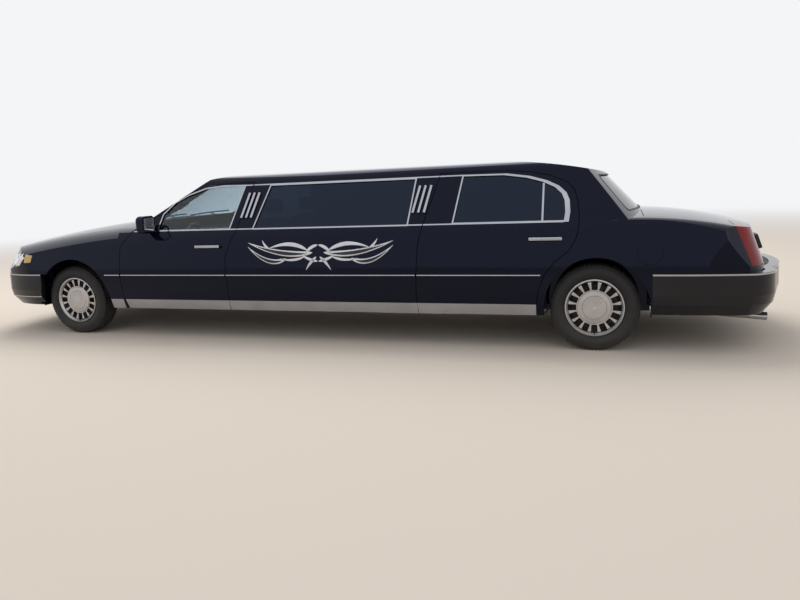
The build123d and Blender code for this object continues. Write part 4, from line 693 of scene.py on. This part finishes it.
# Windscreen and rear window: rubber frames, and wipers lying on the glass
# foot and head: X and Z of the pane's middle line; corners: Y and Z; sections: radius, points and flatness
screens = {
    "windscreen": {"foot": (fromFront(590), 1.000), "head": (fromFront(1287), 1.378), "sense": 1.0,
                   "corners": ((-0.735, 1.075), (0.735, 1.075), (0.604, 1.412), (-0.604, 1.412))},
    "rearWindow": {"foot": (fromRear(395), 1.000), "head": (fromRear(95), 1.320), "sense": -1.0,
                   "corners": ((-0.740, 1.052), (0.740, 1.052), (0.610, 1.330), (-0.610, 1.330))},
}
rubber = {"corner": 0.06, "above": -0.004, "section": (0.011, 10, 0.5)}
screenBow = {"halfChord": 0.950, "depth": 0.185}
bowRadius = (screenBow["halfChord"] ** 2 + screenBow["depth"] ** 2) / (2 * screenBow["depth"])


def screenPoint(spec, y, z, above):
    # X = foot + rise * slope + sense * (bow - above), with bow = bow radius - root of (bow radius^2 - y^2).
    slope = (spec["head"][0] - spec["foot"][0]) / (spec["head"][1] - spec["foot"][1])
    bow = bowRadius - np.sqrt(bowRadius ** 2 - y ** 2)
    return pointsAt(spec["foot"][0] + (z - spec["foot"][1]) * slope + spec["sense"] * (bow - above), y, z)


for label, spec in screens.items():
    loop = roundedLoop(spec["corners"], rubber["corner"], 9)
    step = np.linspace(0.0, 1.0, 8, endpoint=False)[None, :, None]
    y, z = (loop[:, None] + step * (np.roll(loop, -1, axis=0) - loop)[:, None]).reshape(-1, 2).T
    grid = swept(screenPoint(spec, y, z, rubber["above"]), roundSection(*rubber["section"]),
                 (spec["sense"] * 0.5, 0.0, -0.85), closed=True)
    addPiece(label + "Rubber", grid, "black_trim", "body", closeRows=True, closeColumns=True)

# blades: first and last Y, first and last Z; up: away from the glass
wipers = {
    "blades": ((-0.66, -0.10, 1.096, 1.112), (0.02, 0.60, 1.092, 1.112)), "up": (-0.5, 0.0, 0.85),
    "bladeArch": 0.006, "bladeAbove": 0.008, "bladeSection": (0.0045, 8, 1.8),
    "pivotDrop": 0.035, "pivotPast": 0.02, "armRise": 0.012, "armArch": 0.008, "armAbove": 0.022,
    "armSection": (0.007, 8, 0.6),
}
t = np.linspace(0.0, 1.0, 20)
arch = np.sin(math.pi * t)
for wiperIndex, (yStart, yEnd, zStart, zEnd) in enumerate(wipers["blades"]):
    blade = screenPoint(screens["windscreen"], yStart + (yEnd - yStart) * t,
                        zStart + (zEnd - zStart) * t + wipers["bladeArch"] * arch, wipers["bladeAbove"])
    addRod("wiperBlade" + str(wiperIndex), blade, roundSection(*wipers["bladeSection"]), wipers["up"],
           "black_trim", "body")
    arm = screenPoint(screens["windscreen"],
                      yEnd + wipers["pivotPast"] + (0.5 * (yStart + yEnd) - yEnd) * t,
                      zStart - wipers["pivotDrop"] + (wipers["pivotDrop"] + wipers["armRise"]) * t,
                      wipers["armAbove"] + wipers["armArch"] * arch)
    addRod("wiperArm" + str(wiperIndex), arm, roundSection(*wipers["armSection"]), wipers["up"],
           "black_trim", "body")
print("screens done")

# Mirror glasses and blank number plate; each ring is a scale of the outline and a depth
mirrorGlass = {"place": (fromFront(1016), 1.001, 1.058), "half": (0.068, 0.060), "corner": 0.034,
               "rings": ((1.0, -0.004), (1.0, 0.0015), (0.94, 0.0025), (0.5, 0.0032))}
loop = roundedLoop(boxCorners(mirrorGlass["half"]), mirrorGlass["corner"], 10)
for hand, sign in sides:
    grid = panelGrid(loop, np.array(mirrorGlass["place"]) * (1.0, sign, 1.0), (0.0, 1.0, 0.0),
                     (0.0, 0.0, 1.0), mirrorGlass["rings"])
    addPiece("mirrorGlass" + hand.capitalize(), grid, "mirrorSilver", "front_door_" + hand, closeColumns=True,
             capRows=True)
plate = {"place": (fromRear(1229), 0.0, 0.762), "half": (0.26, 0.056), "corner": 0.012,
         "lean": math.radians(20), "holderSize": 1.04,
         "holderRings": ((1.0, -0.030), (1.0, 0.004), (0.985, 0.0055)),
         "rings": ((1.0, 0.0045), (1.0, 0.0070), (0.99, 0.0078), (0.975, 0.0072))}
plateUp = (-math.sin(plate["lean"]), 0.0, math.cos(plate["lean"]))
plateLoop = roundedLoop(boxCorners(plate["half"]), plate["corner"], 6)
holderLoop = plateLoop * plate["holderSize"]
addPiece("plateHolder", panelGrid(holderLoop, plate["place"], (0.0, 1.0, 0.0), plateUp, plate["holderRings"]),
         "black_trim", "boot_lid", closeColumns=True, capRows=True)
addPiece("blankPlate", panelGrid(plateLoop, plate["place"], (0.0, 1.0, 0.0), plateUp, plate["rings"]),
         "plateWhite", "boot_lid", closeColumns=True, capRows=True)

# Filler between the body's rear face and the bumper
bumperFiller = {
    "y": (0.0, 0.20, 0.40, 0.50, 0.55, 0.60, 0.66), "bodyEdge": (1262, 1248, 1226, 1208, 1196, 1188, 1178),
    "bumperEdge": (1336, 1324, 1276, 1236, 1214, 1204, 1194), "low": 0.589, "high": 0.595,
}
y = np.linspace(-bumperFiller["y"][-1], bumperFiller["y"][-1], 81)
front = fromRear(np.interp(np.abs(y), bumperFiller["y"], bumperFiller["bodyEdge"]))
back = fromRear(np.interp(np.abs(y), bumperFiller["y"], bumperFiller["bumperEdge"]))
low, high = bumperFiller["low"], bumperFiller["high"]
edges = ((front, low), (back, low), (back, high), (front, high))
grid = np.stack([pointsAt(x, y, z) for x, z in edges], axis=1)
addPiece("bumperFiller", grid, "black_trim", "body", closeColumns=True, capRows=True)

# Sloping trim along each side of the boot floor: its line in Y and Z
bootTrim = {"ends": (408, 1107), "thick": 0.005, "line": (
    (0.588, 0.4635), (0.622, 0.4640), (0.642, 0.4750), (0.684, 0.560), (0.6975, 0.622))}
line = np.array(bootTrim["line"])
loop = np.concatenate((line, line[::-1] + (0.0, bootTrim["thick"])))
for hand, sign in sides:
    grid = pointsAt(fromRear(np.linspace(*bootTrim["ends"], 12))[:, None], sign * loop[:, 0], loop[:, 1])
    addPiece("bootTrim" + hand.capitalize(), grid, "interior_plastic", "body", closeColumns=True,
             capRows=True)

# Exhaust tips: start and end in metres behind the rear axle and up, with a rolled lip at the end
exhaustTip = {"start": (1.120, 0.2370), "end": (1.226, 0.2280), "side": 0.600, "radius": 0.0305,
              "wall": 0.0016, "past": 0.012, "lip": 0.0012}
(startX, startZ), (endX, endZ) = exhaustTip["start"], exhaustTip["end"]
direction = np.array((endX - startX, 0.0, endZ - startZ))
length = float(np.linalg.norm(direction)) + exhaustTip["past"]
outer, inner = exhaustTip["radius"], exhaustTip["radius"] - exhaustTip["wall"]
profile = np.array(((outer - 0.002, 0.0), (outer, 0.004), (outer, length - 0.004),
                    (outer + exhaustTip["lip"], length - 0.002), (outer, length), (inner, length),
                    (inner, 0.02), (inner, 0.0)))
for hand, sign in sides:
    addPiece("exhaustTip" + hand.capitalize(),
             turned(profile, (rearAxle + startX, sign * exhaustTip["side"], startZ), direction, 40),
             "chrome", "body", closeRows=True, closeColumns=True)
print("small fittings done")

# Seats: crowned leather pads with sewn channels on plain plinths
# A row has the name, the middle in millimetres behind the front axle and metres across and up, the size
# along X, Y and Z, and for a pad its lean rearwards in degrees and its seams' places; copies are mirrored.
pair, single = (("Left", 1.0), ("Right", -1.0)), (("", 1.0),)
frontSeams, rearSeams = (-0.08, 0.08), (-0.42, -0.21, 0.0, 0.21, 0.42)
sideSeams = (-0.45, -0.15, 0.15, 0.45)
seatPads = (
    ("frontCushion", (1490, -0.360, 0.520), (0.490, 0.480, 0.150), -5.0, frontSeams, pair, "y"),
    ("frontBack", (1840, -0.360, 0.800), (0.125, 0.470, 0.530), 18.0, frontSeams, pair, "y"),
    ("frontHeadrest", (1950, -0.360, 1.168), (0.088, 0.262, 0.126), 0.0, (), pair, "y"),
    ("rearCushion", (4270, 0.0, 0.525), (0.500, 1.270, 0.140), -2.0, rearSeams, single, "y"),
    ("rearBack", (4645, 0.0, 0.840), (0.120, 1.270, 0.520), 24.5, rearSeams, single, "y"),
    ("sideCushion", (3050, 0.470, 0.530), (1.490, 0.330, 0.130), 0.0, sideSeams, single, "x"),
    ("sideBack", (3050, 0.740, 0.765), (1.490, 0.085, 0.380), 0.0, sideSeams, single, "x"),
)
plinths = (
    ("frontPlinth", (1500, -0.360, 0.388), (0.460, 0.400, 0.118), pair),
    ("rearPlinth", (4270, 0.0, 0.392), (0.470, 1.240, 0.126), single),
    ("sidePlinth", (3050, 0.520, 0.398), (1.480, 0.400, 0.138), single),
)
# pad and plinth: how round the form is, squarer when smaller; the rest as padGrid's formula says
padShape = {"pad": 0.34, "plinth": 0.12, "seamDepth": 0.009, "seamReach": 0.008, "waist": 0.04}
headrestPost = {"line": ((1915, 1.02), (1940, 1.075), (1949, 1.13)), "y": 0.360, "apart": (-0.055, 0.055),
                "radius": 0.006}


def padGrid(size, roundness, seams, along):
    # Superellipsoid: x, y, z = half size * signed powers of cosine and sine; a seam sinks the face by
    # seam depth * exp(-(distance / reach)^2), and x narrows by waist * (1 - y^2).
    u = np.linspace(0.0, 2 * math.pi, 96, endpoint=False)[:, None]
    v = np.linspace(-math.pi / 2, math.pi / 2, 41)[None, :]

    def power(value):
        # sign of the value * its size to the power of the roundness
        return np.sign(value) * np.abs(value) ** roundness

    ring = power(np.cos(v))
    shape = pointsAt(ring * power(np.cos(u)), ring * power(np.sin(u)), power(np.sin(v)))
    points = shape * np.array(size) / 2
    points[..., 0] *= 1 - padShape["waist"] * (1 - shape[..., 1] ** 2)
    measure = points[..., 1] if along == "y" else points[..., 0]
    shrink = np.zeros_like(measure)
    for seam in seams:
        shrink += padShape["seamDepth"] * np.exp(-((measure - seam) / padShape["seamReach"]) ** 2)
    thin = int(np.argmin(size))
    points[..., thin] -= np.sign(points[..., thin]) * np.minimum(shrink, np.abs(points[..., thin]))
    return points


def placePad(points, station, lean, side):
    # Turned about Y by the lean and moved to its place, on one side of the car.
    c, s = math.cos(math.radians(lean)), math.sin(math.radians(lean))
    turn = np.array(((c, 0.0, s), (0.0, 1.0, 0.0), (-s, 0.0, c)))
    return points @ turn.T + np.array((fromFront(station[0]), station[1] * side, station[2]))


seatPieces = []
for label, station, size, lean, seams, copies, along in seatPads:
    for copyName, side in copies:
        grid = placePad(padGrid(size, padShape["pad"], seams, along), station, lean, side)
        pad = addPiece(label + copyName, grid, "seat_leather", "body", closeRows=True, sharp=80.0)
        seatPieces.append(pad)
for label, station, size, copies in plinths:
    for copyName, side in copies:
        grid = placePad(padGrid(size, padShape["plinth"], (), "y"), station, 0.0, side)
        seatPieces.append(addPiece(label + copyName, grid, "interior_plastic", "body", closeRows=True))
for hand, sign in sides:
    for postIndex, offset in enumerate(headrestPost["apart"]):
        x, z = np.array(headrestPost["line"]).T
        post = pointsAt(fromFront(x), sign * headrestPost["y"] + offset, z)
        seatPieces.append(addRod("headrestPost" + hand.capitalize() + str(postIndex), post,
                                 roundSection(headrestPost["radius"], 12), (0.0, 1.0, 0.0), "chrome", "body"))
for piece in seatPieces:
    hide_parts("seats")
print("seats done")

# Floor, pale backdrop and soft light; the floor's colour fades to the backdrop's between two distances
studio = {"half": 60.0, "floor": (0.80, 0.70, 0.59, 1.0), "fade": (7.0, 22.0),
          "pale": (0.90, 0.91, 0.93, 1.0), "fill": (0.66, 0.68, 0.72, 1.0)}
black = (0.0, 0.0, 0.0, 1.0)
floorData = bpy.data.meshes.new("floor")
floorCorners = pointsAt(*boxCorners((studio["half"], studio["half"])).T, 0.0)
floorData.from_pydata(floorCorners.tolist(), [], [(0, 1, 2, 3)])
floor = bpy.data.objects.new("floor", floorData)
bpy.context.scene.collection.objects.link(floor)
floorFinish = bpy.data.materials.new("floorPaint")
floorFinish.use_nodes = True
tree = floorFinish.node_tree
shader = tree.nodes["Principled BSDF"]
place = tree.nodes.new("ShaderNodeTexCoord").outputs["Object"]
distance = tree.nodes.new("ShaderNodeVectorMath")
distance.operation = "LENGTH"
tree.links.new(place, distance.inputs[0])
fade = tree.nodes.new("ShaderNodeMapRange")
fade.interpolation_type = "SMOOTHSTEP"
fade.inputs["From Min"].default_value, fade.inputs["From Max"].default_value = studio["fade"]
tree.links.new(distance.outputs["Value"], fade.inputs["Value"])
tree.links.new(mixColours(tree, fade.outputs[0], studio["floor"], black), shader.inputs["Base Color"])
tree.links.new(mixColours(tree, fade.outputs[0], black, studio["pale"]), shader.inputs["Emission Color"])
shader.inputs["Emission Strength"].default_value = 1.0
shader.inputs["Roughness"].default_value = 0.9
shader.inputs["Specular IOR Level"].default_value = 0.0
floorData.materials.append(floorFinish)

# The backdrop is pale where it is seen, mirrored or looked at through glass, and lights with the fill colour
world = bpy.data.worlds.new("studio")
bpy.context.scene.world = world
world.use_nodes = True
tree = world.node_tree
background = tree.nodes["Background"]
rays = tree.nodes.new("ShaderNodeLightPath")
seen = mathNode(tree, "MAXIMUM", rays.outputs["Is Camera Ray"],
                mathNode(tree, "MAXIMUM", rays.outputs["Is Glossy Ray"], rays.outputs["Is Transmission Ray"]))
tree.links.new(mixColours(tree, seen, studio["fill"], studio["pale"]), background.inputs["Color"])
background.inputs["Strength"].default_value = 1.0

lamp = {"place": (-2.5, 4.5, 9.5), "aim": (0.22, -0.42, -0.88), "power": 640.0, "size": 8.0}
lampData = bpy.data.lights.new("softLamp", "AREA")
lampData.energy = lamp["power"]
lampData.size = lamp["size"]
lampObject = bpy.data.objects.new("softLamp", lampData)
turn = Vector(lamp["aim"]).to_track_quat("-Z", "Y").to_matrix().to_4x4()
lampObject.matrix_world = Matrix.Translation(lamp["place"]) @ turn
bpy.context.scene.collection.objects.link(lampObject)
bpy.context.scene.view_settings.view_transform = "Standard"
print("stage set")
